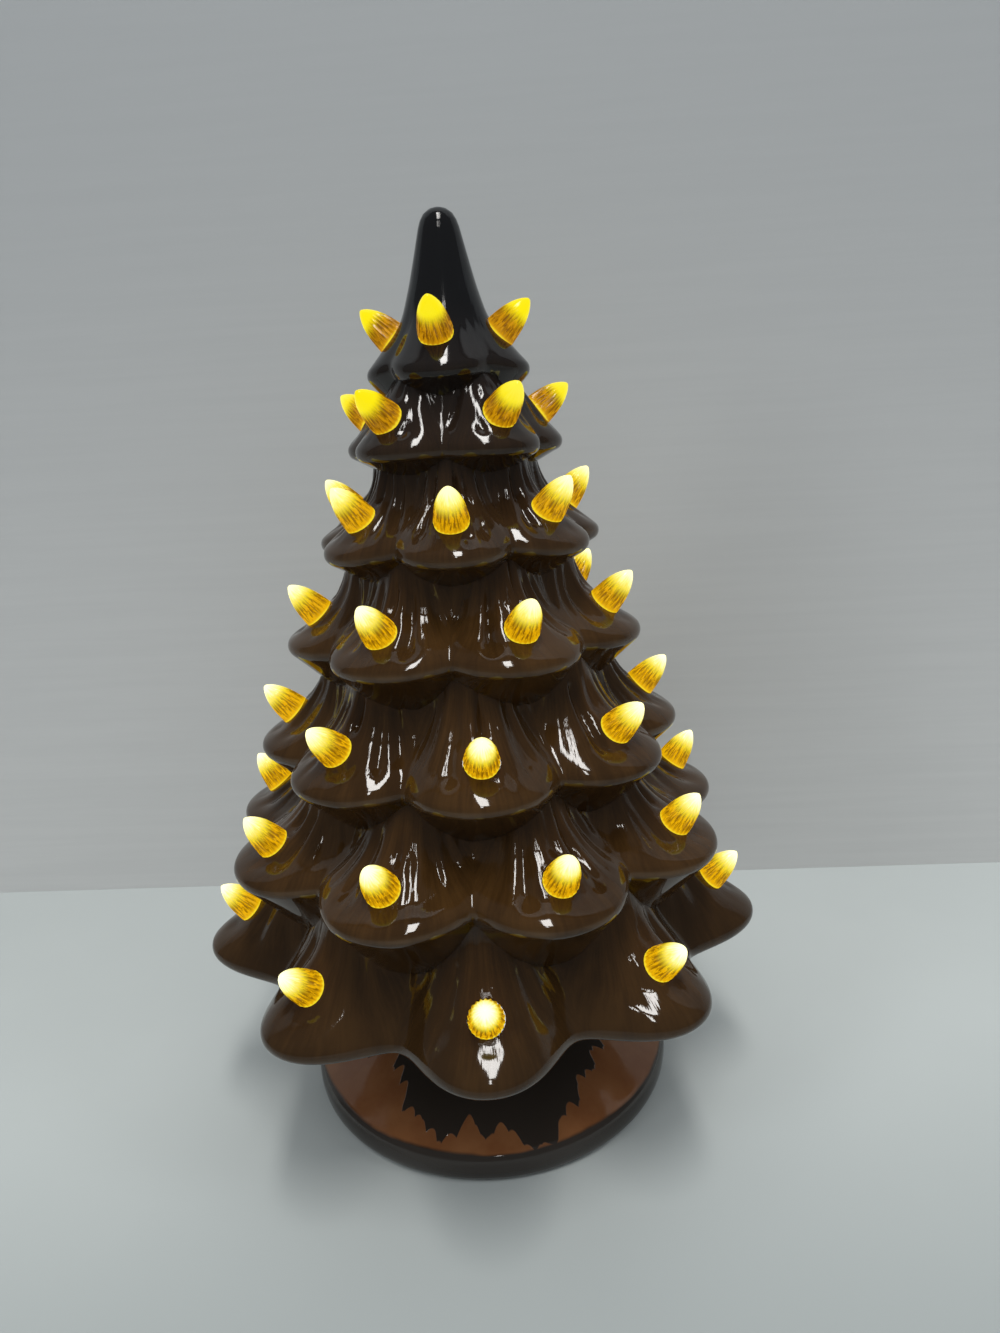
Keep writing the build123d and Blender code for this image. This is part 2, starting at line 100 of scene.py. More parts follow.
# The tip of the tree, from its round top down to the first lobes
TIP_LINE = [
    (0.9, 355.95), (2.5, 355.6), (4.4, 354.6), (6.0, 352.9), (7.2, 350.2), (8.2, 346.4),
    (9.4, 341.5), (10.8, 336.0), (12.2, 330.6), (13.7, 325.6), (15.4, 320.6), (17.6, 316.2),
    (20.7, 312.2), (24.6, 308.0),
]
TIP_STEPS = 8  # between two of its points
TIP_HOLLOW = [(11.5, 296.5), (13.5, 305.0), (9.0, 316.0), (1.2, 339.0)]
TIP_COLUMNS = 40
TIP_CREASE_Z = (306.0, 327.0)  # the creases fade out between these heights
TIP_FOLD_Z = (310.0, 322.0)  # and the folds between these

# How a round tier is pressed into lobes, by shares, powers and distances from a bulb
CREASE_SOFT = 0.05
TIP_CREASE_SOFT = 0.12
PRESS_POWER = 1.3  # at the top of a tier, so that a lobe is round there
PRESS_GAIN = 0.85  # more of it at the lip, which is flatter
HIGH_PRESS_GAIN = 0.6  # for the high tiers
HIGH_TIERS = 2
SCALLOP_FLAT = 0.55  # the lip of the lowest tier is part flat and part round
SCALLOP_ROUND = 0.45
SCALLOP_RUN = (0.35, 0.9)
CREASE_TOP = 0.75  # depth of a crease at the top of its tier, as a share of that at the lip
CREASE_RUN = (0.0, 0.5)
SEAT_EASE = 0.45  # the pressing gives way around a bulb
SEAT_EASE_R = (4.5, 13.0)
FLARE_BELOW = 4.5  # the flare starts this far below the bulb
FLARE_SHORT = 2.5  # and runs for the bulb's way up less this
FLARE_POWER = 1.4
FLARE_UNDER = (0.8, 0.0)  # shares of the flare and the lift along the underside
LIFT_RUN = (0.3, 1.0)
LIFT_UNDER = (0.9, 0.5)

# Pleats and folds fan out over a lobe from its top, in shares of half a lobe
FOLD_SEED = 410
FAN_TOP = 0.55
FAN_GAIN = 0.45
FAN_END = 1.7
PLEAT_STEP = (0.24, 0.46)
PLEAT_WIDTH = (0.05, 0.085)
PLEAT_DEEP = (0.3, 1.0)
PLEAT_POWER = 1.5  # few pleats are deep
PLEAT_LEAN = 0.05
PLEAT_START = (-0.15, 0.2)
PLEAT_END = (0.8, 1.05)
PLEAT_IN = 0.15
PLEAT_OUT = 0.4
FOLD_PLACES = (-1.1, -0.55, 0.08, 0.6, 1.12)
FOLD_SHIFT = 0.14
FOLD_WIDTH = (0.09, 0.16)
FOLD_DEEP = (0.4, 1.0)
FOLD_LEAN = 0.08
FOLD_START = (-0.05, 0.2)
FOLD_END = (0.6, 1.0)
FOLD_EDGE = 8  # powers that keep folds and brush strokes off the creases
FOLD_CLEAR_R = (7.0, 11.5)
STROKE_EDGE = 10
STROKE_END = (0.7, 1.0)
STROKE_CLEAR_R = (6.0, 10.0)
LOBE_SHIFT = 5.0  # so that no two lobes or tiers have the same strokes
TIER_SHIFT = 3.0
LIP_EDGE_ROWS = 1.5

# Bulb and its seat
BULB_LINE = [
    (6.3, 0.45), (6.45, 1.3), (6.3, 2.6), (6.05, 4.4), (5.72, 6.4), (5.3, 8.4), (4.75, 10.3),
    (4.0, 12.2), (3.1, 13.9), (2.1, 15.4), (1.2, 16.4), (0.5, 16.95),
]
BULB_L = 17.2
BULB_TIP_IN = 0.2  # the flat end of the mesh lies this far inside the bulb's length
BULB_FOOT_R = 6.0
BULB_COLUMNS = 88
BULB_SHARP = 50.0
PEG_R = 3.1
PEG_L = 9.0
PEG_CHAMFER = 0.4
HOLE_CLEAR = 0.25
SEAT_R = 6.55
SEAT_SINK = 1.2
SEAT_CUT = 9.0
SEAT_COLUMNS = 40
FLUTE_START = (0.2, 1.0)
FLUTE_END = (8.5, 12.5)
SKIRT_DIP = 0.35  # the foot of a bulb dips at its flutes
SKIRT_START = (0.1, 0.4)
SKIRT_END = (0.6, 1.6)
SKIRT_R = 5.0
BULB_SEED = 77
GLOW_SPREAD = 0.08
NEAR = 0.01  # a row this near to a height is at it

# The hole in the tree's floor that the lamp goes through, cut past both faces of the floor
LAMP_HOLE_R = 27.0
LAMP_HOLE_BELOW = 4.0
LAMP_HOLE_ABOVE = 3.0
LAMP_HOLE_COLUMNS = 96

# Stand, as a closed outline: foot, rim, slope, trunk, spigot and the hollow below
STAND_LINE = [
    (66.4, 1.2), (77.3, 1.2), (78.4, 1.9), (79.0, 3.2), (79.3, 5.4), (79.3, 8.0), (79.1, 9.9),
    (78.5, 11.5), (77.6, 12.6), (76.3, 13.3), (74.4, 14.1), (70.0, 16.4), (65.0, 19.0),
    (60.0, 21.7), (55.0, 24.3), (50.4, 26.8), (46.4, 29.4), (43.0, 32.4), (40.2, 36.0),
    (38.0, 40.0), (36.6, 44.2), (36.0, 48.6), (36.0, 57.0), (36.0, 65.7), (35.2, 66.5),
    (27.0, 66.5), (26.4, 67.0), (26.4, 73.0), (25.9, 73.5), (19.0, 73.5), (19.0, 61.0),
    (30.5, 55.5), (30.5, 47.8), (40.4, 23.6), (61.9, 13.0), (61.9, 7.2), (66.4, 7.2),
]
STAND_COLUMNS = 160
STAND_SHARP = 38.0
FELT_LINE = [
    (66.9, 0.0), (74.5, 0.0), (74.95, 0.25), (75.0, 0.7), (74.8, 1.1), (74.3, 1.2),
    (67.1, 1.2), (66.6, 1.1), (66.4, 0.7), (66.45, 0.25),
]
FELT_COLUMNS = 240
FELT_MIDDLE_R = 70.0
FELT_FRAY = 0.18
FELT_SEED = 5
FELT_SHARP = 60.0

# Where the glazes change, in metres
LOW_GLAZE_Z = (0.11, 0.04)
TIP_GLAZE_Z = (0.22, 0.345)
TIP_GLAZE_WAVER = 0.03
RIM_GLAZE_Z = (0.0140, 0.0132)
RIM_GLAZE_WAVER = 0.0016
TRUNK_FRONT = (-0.62, -1.0)  # the black reaches further out towards the front
TRUNK_REACH = (0.046, 0.063)
TRUNK_POINTS = [(6.0, 1.7, 0.016), (13.0, 1.6, 0.008)]  # how many, how sharp and how long
TRUNK_FRAY = 0.002
TRUNK_EDGE = (-0.0003, 0.0004)

# Soft edges along a cell, in metres from its middle towards its nub
CELL_BAND = ((0.0093, 0.0097), (0.0235, 0.0232))
CELL_LINE = ((0.0078, 0.008), (0.0087, 0.0085))
CELL_ENDS = ((0.0236, 0.0238), (-0.0246, -0.0248))

# Stage, in metres, and degrees for its turns
TABLE_SIZE = 8.0
TABLE_DROP = 0.0002
# the table's painted shade grows between these places, from the back to the front
TABLE_PAINTED_SHADE_Y = (0.02, -0.26)
WALL_SIZE = 4.0
WALL_FOOT = (0.003, 0.151, 0.0)
WALL_TURN = -5.03
# the wall's painted light fades out between these heights
WALL_PAINTED_LIGHT_Z = (0.0, 0.55)
CAMERA_PLACE = (0.0, -0.3450, 0.2849)
CAMERA_PITCH = 16.31
CAMERA_YAW = 2.20
CAMERA_ROLL = 3.20
SENSOR_W = 36.0
ROOM_COLOUR = (0.95, 0.98, 1.0, 1.0)
ROOM_STRENGTH = 0.13
WARM = (1.0, 0.98, 0.95)
COOL = (0.93, 0.97, 1.0)
MIDDLE = (0.0, 0.0, 0.17)
FOOT = (0.0, 0.0, 0.0)

# Lights, each with the name of its power among the stage's settings and its share of that power
Lamp = namedtuple(
    "Lamp", "name place aim size power colour shine share spread", defaults=(True, 1.0, 180.0)
)
LAMPS = [
    Lamp("key", (0.05, -0.46, 1.63), (0.03, -0.05, 0.12), (0.20, 0.72), "key_power", WARM),
    Lamp("spot", (0.0, -1.0, 1.4), (0.0, -0.08, 0.08), (0.06, 0.26), "spot_power", WARM),
    Lamp("left", (-1.0, -0.75, 0.95), MIDDLE, (0.30, 0.9), "side_power", COOL, shine=False),
    Lamp("right", (1.05, -0.55, 1.05), MIDDLE, (0.26, 0.7), "side_power", COOL, shine=False, share=0.7),
    Lamp("top", (0.0, -0.25, 1.7), (0.0, -0.05, 0.0), (2.6, 2.4), "top_power", COOL, shine=False),
    Lamp("rear", (0.25, 1.1, 1.1), MIDDLE, (1.4, 1.0), "rear_power", COOL),
    Lamp("front", (0.2, -1.7, 0.9), (0.0, 0.0, 0.1), (2.4, 1.4), "front_power", COOL, shine=False),
    Lamp("under", (0.0, 0.0, -0.25), FOOT, (0.06, 0.06), "under_power", COOL, shine=False, spread=20.0),
]


def tip_z(tier):
    """Height of the tips of the lobes of a tier."""
    skirt_z = SEAT_Z + TIERS[-1].under_h
    return skirt_z + tier.rise * (TOP_Z - skirt_z)


def tier_top(index):
    """Height at which a tier ends inside the one above."""
    above = TIERS[index - 1]
    return tip_z(above) - above.under_h + FLOOR_T + TIER_LAP


def ridge_r(tier, z):
    """Radius of the ridge of a lobe at a height above its tip."""
    return tier.tip_r - (z - tip_z(tier)) / tan(radians(tier.fall))


def fade(value, start, end):
    """0 before the start, 1 after the end, and smooth between them."""
    share = np.clip((value - start) / (end - start), 0.0, 1.0)
    return share * share * (3.0 - 2.0 * share)


def even(points, count):
    """Evenly spaced points along a line of points."""
    way = np.concatenate([[0.0], np.cumsum(np.hypot(*np.diff(points, axis=0).T))])
    steps = np.linspace(0.0, way[-1], count)
    return np.stack([np.interp(steps, way, points[:, k]) for k in (0, 1)], 1)


def flow(points, count):
    """Evenly spaced points on a smooth line through the given ones."""
    points = np.array(points, float)
    before = np.vstack([2 * points[0] - points[1], points[:-1]])
    after = np.vstack([points[1:], 2 * points[-1] - points[-2]])
    slope = (after - before) / 2
    share = np.linspace(0.0, 1.0, TIP_STEPS + 1)[:-1, None]
    t2, t3 = share**2, share**3
    line = []
    for i in range(len(points) - 1):
        line.append(
            (2 * t3 - 3 * t2 + 1) * points[i] + (t3 - 2 * t2 + share) * slope[i]
            + (3 * t2 - 2 * t3) * points[i + 1] + (t3 - t2) * slope[i + 1]
        )
    return even(np.vstack(line + [points[-1:]]), count)


def enter(mode):
    """Goes into object mode or edit mode."""
    bpy.ops.object.mode_set(mode=mode)


def clear_selection():
    """Leaves nothing selected, in object mode."""
    if bpy.context.object and bpy.context.object.mode != "OBJECT":
        enter("OBJECT")
    bpy.ops.object.select_all(action="DESELECT")


def only(piece):
    """Selects one piece and makes it active."""
    clear_selection()
    piece.select_set(True)
    bpy.context.view_layer.objects.active = piece


def remove(piece):
    """Deletes a piece that was only a model or a tool."""
    only(piece)
    bpy.ops.object.delete()


def vertex_places(piece):
    """Places of a piece's vertices in millimetres."""
    places = np.zeros(len(piece.data.vertices) * 3)
    piece.data.vertices.foreach_get("co", places)
    return places.reshape(-1, 3) / MM


def set_places(piece, places):
    """Moves a piece's vertices to places in millimetres."""
    piece.data.vertices.foreach_set("co", (places * MM).ravel())
    piece.data.update()


def store(piece, name, values):
    """Keeps a value on each point of a piece, for its material."""
    kept = piece.data.attributes.new(name, "FLOAT", "POINT")
    kept.data.foreach_set("value", np.asarray(values, np.float32))


def select_vertices(piece, chosen):
    """In edit mode, selects the vertices that are chosen and nothing else."""
    bpy.ops.mesh.select_mode(type="VERT")
    bpy.ops.mesh.select_all(action="DESELECT")
    enter("OBJECT")
    piece.data.vertices.foreach_set("select", np.asarray(chosen, bool))
    enter("EDIT")


def turned(name, outline, columns, ring=False):
    """A round piece drawn from a circle, one row of its outline after another.

    A ring's last row is joined to its first. Other pieces are closed at both ends.
    """
    clear_selection()
    r, z = outline[0]
    bpy.ops.mesh.primitive_circle_add(vertices=columns, radius=r * MM, location=(0, 0, z * MM))
    piece = bpy.context.object
    piece.name = name
    bpy.ops.object.transform_apply(location=True, rotation=False, scale=False)
    enter("EDIT")
    bpy.ops.mesh.select_mode(type="VERT")
    bpy.ops.mesh.select_all(action="SELECT")
    for next_r, next_z in outline[1:]:
        rise = {"value": (0, 0, (next_z - z) * MM)}
        bpy.ops.mesh.extrude_edges_move(TRANSFORM_OT_translate=rise)
        bpy.ops.transform.resize(value=(next_r / r, next_r / r, 1))
        r, z = next_r, next_z
    if not ring:
        bpy.ops.mesh.edge_face_add()
    enter("OBJECT")
    count = len(piece.data.vertices)
    order = np.arange(count)
    enter("EDIT")
    if ring:
        select_vertices(piece, (order < columns) | (order >= count - columns))
        bpy.ops.mesh.bridge_edge_loops()
    else:
        select_vertices(piece, order < columns)
        bpy.ops.mesh.edge_face_add()
    bpy.ops.mesh.select_all(action="SELECT")
    bpy.ops.mesh.normals_make_consistent(inside=False)
    enter("OBJECT")
    return piece


def lobed_blank(name, columns, rows):
    """A closed drum, 1 m high, to be pressed into lobes, with the angle and row of its vertices.

    Rows count from the top. The middles of the two ends have the first and the last row.
    """
    clear_selection()
    bpy.ops.mesh.primitive_cylinder_add(
        vertices=columns, radius=1, depth=1, end_fill_type="TRIFAN"
    )
    piece = bpy.context.object
    piece.name = name
    heights = vertex_places(piece)[:, 2] * MM
    ends = np.zeros(len(piece.data.edges) * 2, int)
    piece.data.edges.foreach_get("vertices", ends)
    upright = np.abs(heights[ends[0::2]] - heights[ends[1::2]]) > 0.5
    enter("EDIT")
    bpy.ops.mesh.select_mode(type="EDGE")
    bpy.ops.mesh.select_all(action="DESELECT")
    enter("OBJECT")
    piece.data.edges.foreach_set("select", upright)
    enter("EDIT")
    bpy.ops.mesh.subdivide(number_cuts=rows - 2)
    enter("OBJECT")
    places = vertex_places(piece) * MM
    row = np.rint((0.5 - places[:, 2]) * (rows - 1)).astype(int)
    middle = np.hypot(places[:, 0], places[:, 1]) < 0.5
    angle = np.arctan2(places[:, 0], -places[:, 1])
    return piece, angle, row, middle


def apply_boolean(piece, other, operation):
    """Joins another closed piece to this one, or cuts it away, and deletes it."""
    only(piece)
    step = piece.modifiers.new(operation.title(), "BOOLEAN")
    step.operation = operation
    step.solver = "MANIFOLD"
    step.object = other
    bpy.ops.object.modifier_apply(modifier=step.name)
    if not piece.data.polygons:
        raise RuntimeError(f"Nothing is left of {piece.name} after {other.name}")
    remove(other)


def smooth(piece, degrees):
    """Smooth shading, with edges sharper than the angle kept."""
    only(piece)
    bpy.ops.object.shade_smooth_by_angle(angle=radians(degrees))


def copy_of(model, place):
    """A copy of a piece with its own mesh, set in a place."""
    piece = model.copy()
    piece.data = model.data.copy()
    piece.data.transform(place)
    bpy.context.scene.collection.objects.link(piece)
    return piece


def joined(name, pieces):
    """Several pieces as one."""
    clear_selection()
    for piece in pieces:
        piece.select_set(True)
    bpy.context.view_layer.objects.active = pieces[0]
    if len(pieces) > 1:
        bpy.ops.object.join()
    pieces[0].name = name
    pieces[0].data.name = name
    return pieces[0]


def neck_line(index):
    """The upper end of a ridge, which turns up into a neck under the lip of the tier above."""
    tier, above = TIERS[index], TIERS[index - 1]
    fall, height = radians(tier.fall), tip_z(tier)
    lip_r = (above.tip_r + LIP_OUT) * (1 - above.crease / above.tip_r)
    neck_r = min(above.tip_r - above.under_in - NECK_CLEAR, lip_r - NECK_IN)
    top = np.array([neck_r, tip_z(above) - NECK_DROP])
    corner = np.array([neck_r, height + (tier.tip_r - neck_r) * tan(fall)])
    up = tier.bulb_up + NECK_BEND
    start = np.array([tier.tip_r - up * cos(fall), height + up * sin(fall)])
    t = np.linspace(0, 1, NECK_STEPS)[:, None]
    return (1 - t) ** 2 * top + 2 * t * (1 - t) * corner + t**2 * start


def lobe_line(index):
    """Outline of a lobe through its middle, from its top to the end of its underside.

    Gives the line, its outward direction, how far down the ridge each row is, how far it lies
    up the ridge from the tip, and its shares of the lift at the creases and of the lip's flare.
    """
    tier = TIERS[index]
    fall, height = radians(tier.fall), tip_z(tier)
    turn_s = (tier.nose * (1 - sin(fall)) - LIP_OUT) / cos(fall)
    centre = np.array(
        [tier.tip_r + LIP_OUT - tier.nose, height + turn_s * sin(fall) - tier.nose * cos(fall)]
    )
    under = np.array([tier.tip_r - tier.under_in, height - tier.under_h])
    way = under - centre
    last = atan2(way[1], way[0]) + acos(tier.nose / hypot(*way))
    bend = np.linspace(pi / 2 - fall, last, NOSE_ROWS)
    nose = centre + tier.nose * np.stack([np.cos(bend), np.sin(bend)], 1)
    if index == 0:
        ridge = flow(TIP_LINE + [tuple(nose[0])], RIDGE_ROWS + 1)[:-1]
    else:
        ridge = even(np.vstack([neck_line(index), nose[:1]]), RIDGE_ROWS + 1)[:-1]
    shares = np.linspace(0, 1, UNDER_ROWS + 1)[1:, None]
    below = nose[-1] + (under - nose[-1]) * shares
    slope = (under - nose[-1]) / hypot(*(under - nose[-1]))
    line = np.vstack([ridge, nose, below, under + slope * UNDER_PAST])
    if index == 0:
        down = (ridge[0][1] - line[:, 1]) / (ridge[0][1] - nose[0][1])
    else:
        hidden = np.count_nonzero(ridge[:, 1] > tier_top(index) - FLOOR_T)
        down = (np.arange(len(line)) - hidden) / (RIDGE_ROWS - hidden)
    down = np.clip(down, 0, 1)
    down[RIDGE_ROWS:] = 1.0
    up_ridge = (line[:, 1] - height) / sin(fall)
    flare = np.clip((tier.bulb_up - FLARE_BELOW - up_ridge) / (tier.bulb_up - FLARE_SHORT), 0, 1)
    flare = np.sin(pi / 2 * flare) ** FLARE_POWER
    flare[RIDGE_ROWS + NOSE_ROWS:] = np.linspace(*FLARE_UNDER, UNDER_ROWS + 1)
    lift = fade(down, *LIFT_RUN)
    lift[RIDGE_ROWS + NOSE_ROWS:] = np.linspace(*LIFT_UNDER, UNDER_ROWS + 1)
    along = np.gradient(line, axis=0)
    along /= np.hypot(*along.T)[:, None]
    out = np.stack([-along[:, 1], along[:, 0]], 1)
    return line, out, down, up_ridge, lift, flare


def fanned(w, down):
    """Place across a lobe, on lines that fan out on their way down."""
    return w / (FAN_TOP + FAN_GAIN * down)


def groove(fan, down, place, lean, width):
    """A groove down a lobe, 1 along its middle, that leans as it goes down."""
    return np.exp(-(((fan - place - lean * down) / width) ** 2))


def pleats(index, w, lobe, down, sizes):
    """How deep the narrow pleats and the broad folds press into each lobe, in millimetres."""
    tier = TIERS[index]
    draw = np.random.default_rng(FOLD_SEED + index)
    pleat_depth, fold_depth = sizes.pleat_depth / MM, sizes.fold_depth / MM
    depth = np.zeros(len(w))
    fan = fanned(w, down)
    for i in range(tier.lobes):
        here = lobe == i
        q, v = fan[here], down[here]
        pressed = np.zeros(len(q))
        place = -FAN_END
        while place < FAN_END:
            place += draw.uniform(*PLEAT_STEP)
            width = draw.uniform(*PLEAT_WIDTH)
            deep = draw.uniform(*PLEAT_DEEP) ** PLEAT_POWER
            lean = draw.normal(0, PLEAT_LEAN)
            start = draw.uniform(*PLEAT_START)
            end = draw.uniform(*PLEAT_END)
            run = fade(v, start, start + PLEAT_IN) * (1 - fade(v, end - PLEAT_OUT, end))
            pressed += pleat_depth * deep * groove(q, v, place, lean, width) * run
        run = fade(v, *FOLD_START) * (1 - fade(v, *FOLD_END))
        for side in FOLD_PLACES:
            place = side + draw.uniform(-FOLD_SHIFT, FOLD_SHIFT)
            width = draw.uniform(*FOLD_WIDTH)
            deep = draw.uniform(*FOLD_DEEP)
            lean = draw.normal(0, FOLD_LEAN)
            pressed += fold_depth * deep * groove(q, v, place, lean, width) * run
        depth[here] = pressed * (1 - np.abs(w[here]) ** FOLD_EDGE)
    return depth * tier.folds


def lobe_press(index, w, down, from_seat):
    """How far a tier is pressed in across its lobes: 0 on a ridge and 1 in a crease."""
    soft = TIP_CREASE_SOFT if index == 0 else CREASE_SOFT
    u = 1 - np.sqrt((1 - np.abs(w)) ** 2 + soft**2) + hypot(1, soft) - 1
    gain = HIGH_PRESS_GAIN if index < HIGH_TIERS else PRESS_GAIN
    press = u ** (PRESS_POWER + gain * down)
    if index == len(TIERS) - 1:
        flat = SCALLOP_FLAT * np.abs(w) ** 3 * (4 - 3 * np.abs(w))
        scallop = flat + SCALLOP_ROUND * w**2 * (3 - 2 * np.abs(w))
        press = press + (scallop - press) * fade(down, *SCALLOP_RUN)
    return press * (1 - SEAT_EASE * (1 - fade(from_seat, *SEAT_EASE_R)) * (down < 1))


def crease_share(index, heights, down):
    """Depth of the creases as a share of the radius."""
    crease = TIERS[index].crease / TIERS[index].tip_r
    if index == 0:
        return crease * (1 - fade(heights, *TIP_CREASE_Z))
    return crease * (CREASE_TOP + (1 - CREASE_TOP) * fade(down, *CREASE_RUN))


def lobed_tier(index, sizes):
    """One solid tier: lobes with pleated ridges, a rounded lip and a drawn-in underside."""
    tier = TIERS[index]
    line, out, down, up_ridge, lift, flare = lobe_line(index)
    columns = tier.lobes * tier.columns
    piece, angle, row, middle = lobed_blank(f"tier_{index + 1}", columns, len(line))
    half = pi / tier.lobes
    way = (angle - radians(tier.turn) + half) % (2 * pi)
    lobe = np.minimum((way / (2 * half)).astype(int), tier.lobes - 1)
    w = way / half - 2 * lobe - 1
    v = down[row]
    side = w * half * line[row, 0]
    from_seat = np.hypot(up_ridge[row] - tier.bulb_up, side)
    press = lobe_press(index, w, v, from_seat)
    r = line[row, 0] * (1 - crease_share(index, line[row, 1], v) * press)
    z = line[row, 1] + sizes.crease_lift / MM * tier.lift * press * lift[row]
    z += tier.flare * flare[row] * (1 - press)
    deep = pleats(index, w, lobe, v, sizes) * (row < RIDGE_ROWS + 1) * fade(from_seat, *FOLD_CLEAR_R)
    if index == 0:
        deep *= 1 - fade(line[row, 1], *TIP_FOLD_Z)
    r -= deep * out[row, 0]
    z -= deep * out[row, 1]
    r[middle] = 0
    if index == 0:
        z[middle & (row == 0)] = TOP_Z
    set_places(piece, np.stack([r * np.sin(angle), -r * np.cos(angle), z], 1))
    shown = (1 - np.abs(w) ** STROKE_EDGE) * (1 - fade(v, *STROKE_END))
    lip_row = RIDGE_ROWS + 0.5 * NOSE_ROWS
    store(piece, "fan", fanned(w, v) + LOBE_SHIFT * lobe)
    store(piece, "down", v + TIER_SHIFT * index)
    store(piece, "stroke", shown * fade(from_seat, *STROKE_CLEAR_R) * tier.folds)
    store(piece, "edge", np.exp(-(((row - lip_row) / LIP_EDGE_ROWS) ** 2)))
    return piece


def tier_hollow(index):
    """The hollow inside a tier, with the wall left around it."""
    tier = TIERS[index]
    if index == 0:
        return turned("tip_hollow", TIP_HOLLOW, TIP_COLUMNS)
    top, height = tier_top(index), tip_z(tier)
    levels = np.array([
        (ridge_r(tier, top), top),
        (tier.tip_r, height),
        (tier.tip_r - min(tier.under_in, HOLLOW_IN) / 2, height - tier.under_h + FLOOR_T),
    ])
    columns = tier.lobes * HOLLOW_COLUMNS
    piece, angle, row, middle = lobed_blank(f"hollow_{index + 1}", columns, len(levels))
    half = pi / tier.lobes
    w = (angle - radians(tier.turn) + half) % (2 * half) / half - 1
    press = w * w
    wall = LOBE_WALL + (CREASE_WALL - LOBE_WALL) * press
    r = levels[row, 0] * (1 - tier.crease / tier.tip_r * press) - wall
    r[middle] = 0
    set_places(piece, np.stack([r * np.sin(angle), -r * np.cos(angle), levels[row, 1]], 1))
    return piece


def bulb_seats(tier):
    """Where each bulb of a tier sits: on the ridge of its lobe and square to it."""
    fall = radians(tier.fall)
    r = tier.tip_r - tier.bulb_up * cos(fall) - SEAT_SINK * sin(fall)
    z = tip_z(tier) + tier.bulb_up * sin(fall) - SEAT_SINK * cos(fall)
    seats = []
    for i in range(tier.lobes):
        angle = radians(tier.turn + 360 * i / tier.lobes)
        place = Matrix.Translation((r * sin(angle) * MM, -r * cos(angle) * MM, z * MM))
        seats.append(place @ Matrix.Rotation(angle, 4, "Z") @ Matrix.Rotation(fall, 4, "X"))
    return seats


def lamp_hole():
    """A plug that cuts the hole for the lamp in the tree's floor."""
    bottom, top = SEAT_Z - LAMP_HOLE_BELOW, SEAT_Z + FLOOR_T + LAMP_HOLE_ABOVE
    return turned("lamp_hole", [(LAMP_HOLE_R, bottom), (LAMP_HOLE_R, top)], LAMP_HOLE_COLUMNS)


def seat_cuts():
    """The cutters of all the seats and peg holes of the bulbs, as one piece."""
    peg_end = PEG_L + HOLE_CLEAR
    peg_hole_r = PEG_R + HOLE_CLEAR
    line = [(peg_hole_r, -peg_end), (peg_hole_r, 0), (SEAT_R, 0), (SEAT_R, SEAT_CUT)]
    cutter = turned("seat_cutter", line, SEAT_COLUMNS)
    cuts = [copy_of(cutter, seat) for tier in TIERS for seat in bulb_seats(tier)]
    remove(cutter)
    return joined("seat_cuts", cuts)


def fluted_bulb(sizes):
    """One bulb with its peg, its seat at the origin, and the values that its plastic reads."""
    peg_line = [
        (PEG_R - PEG_CHAMFER, -PEG_L), (PEG_R, -PEG_L + PEG_CHAMFER), (PEG_R, 0.0), (BULB_FOOT_R, 0.0)
    ]
    bulb = turned("bulb", peg_line + BULB_LINE, BULB_COLUMNS)
    places = vertex_places(bulb)
    angle = np.arctan2(places[:, 1], places[:, 0])
    r, z = np.hypot(places[:, 0], places[:, 1]), places[:, 2]
    flute = 0.5 - 0.5 * np.cos(angle * sizes.flutes)
    depth = sizes.flute_depth / MM * fade(z, *FLUTE_START) * (1 - fade(z, *FLUTE_END))
    r = r - depth * flute
    z = z - SKIRT_DIP * flute * fade(z, *SKIRT_START) * (1 - fade(z, *SKIRT_END)) * (r > SKIRT_R)
    z = np.where(z > BULB_LINE[-1][1] - NEAR, BULB_L - BULB_TIP_IN, z)
    set_places(bulb, np.stack([r * np.cos(angle), r * np.sin(angle), z], 1))
    smooth(bulb, BULB_SHARP)
    store(bulb, "rise", z / BULB_L)
    store(bulb, "turn", angle / (2 * pi) + 0.5)
    store(bulb, "flute", flute)
    store(bulb, "glow", np.zeros(len(z)))
    return bulb


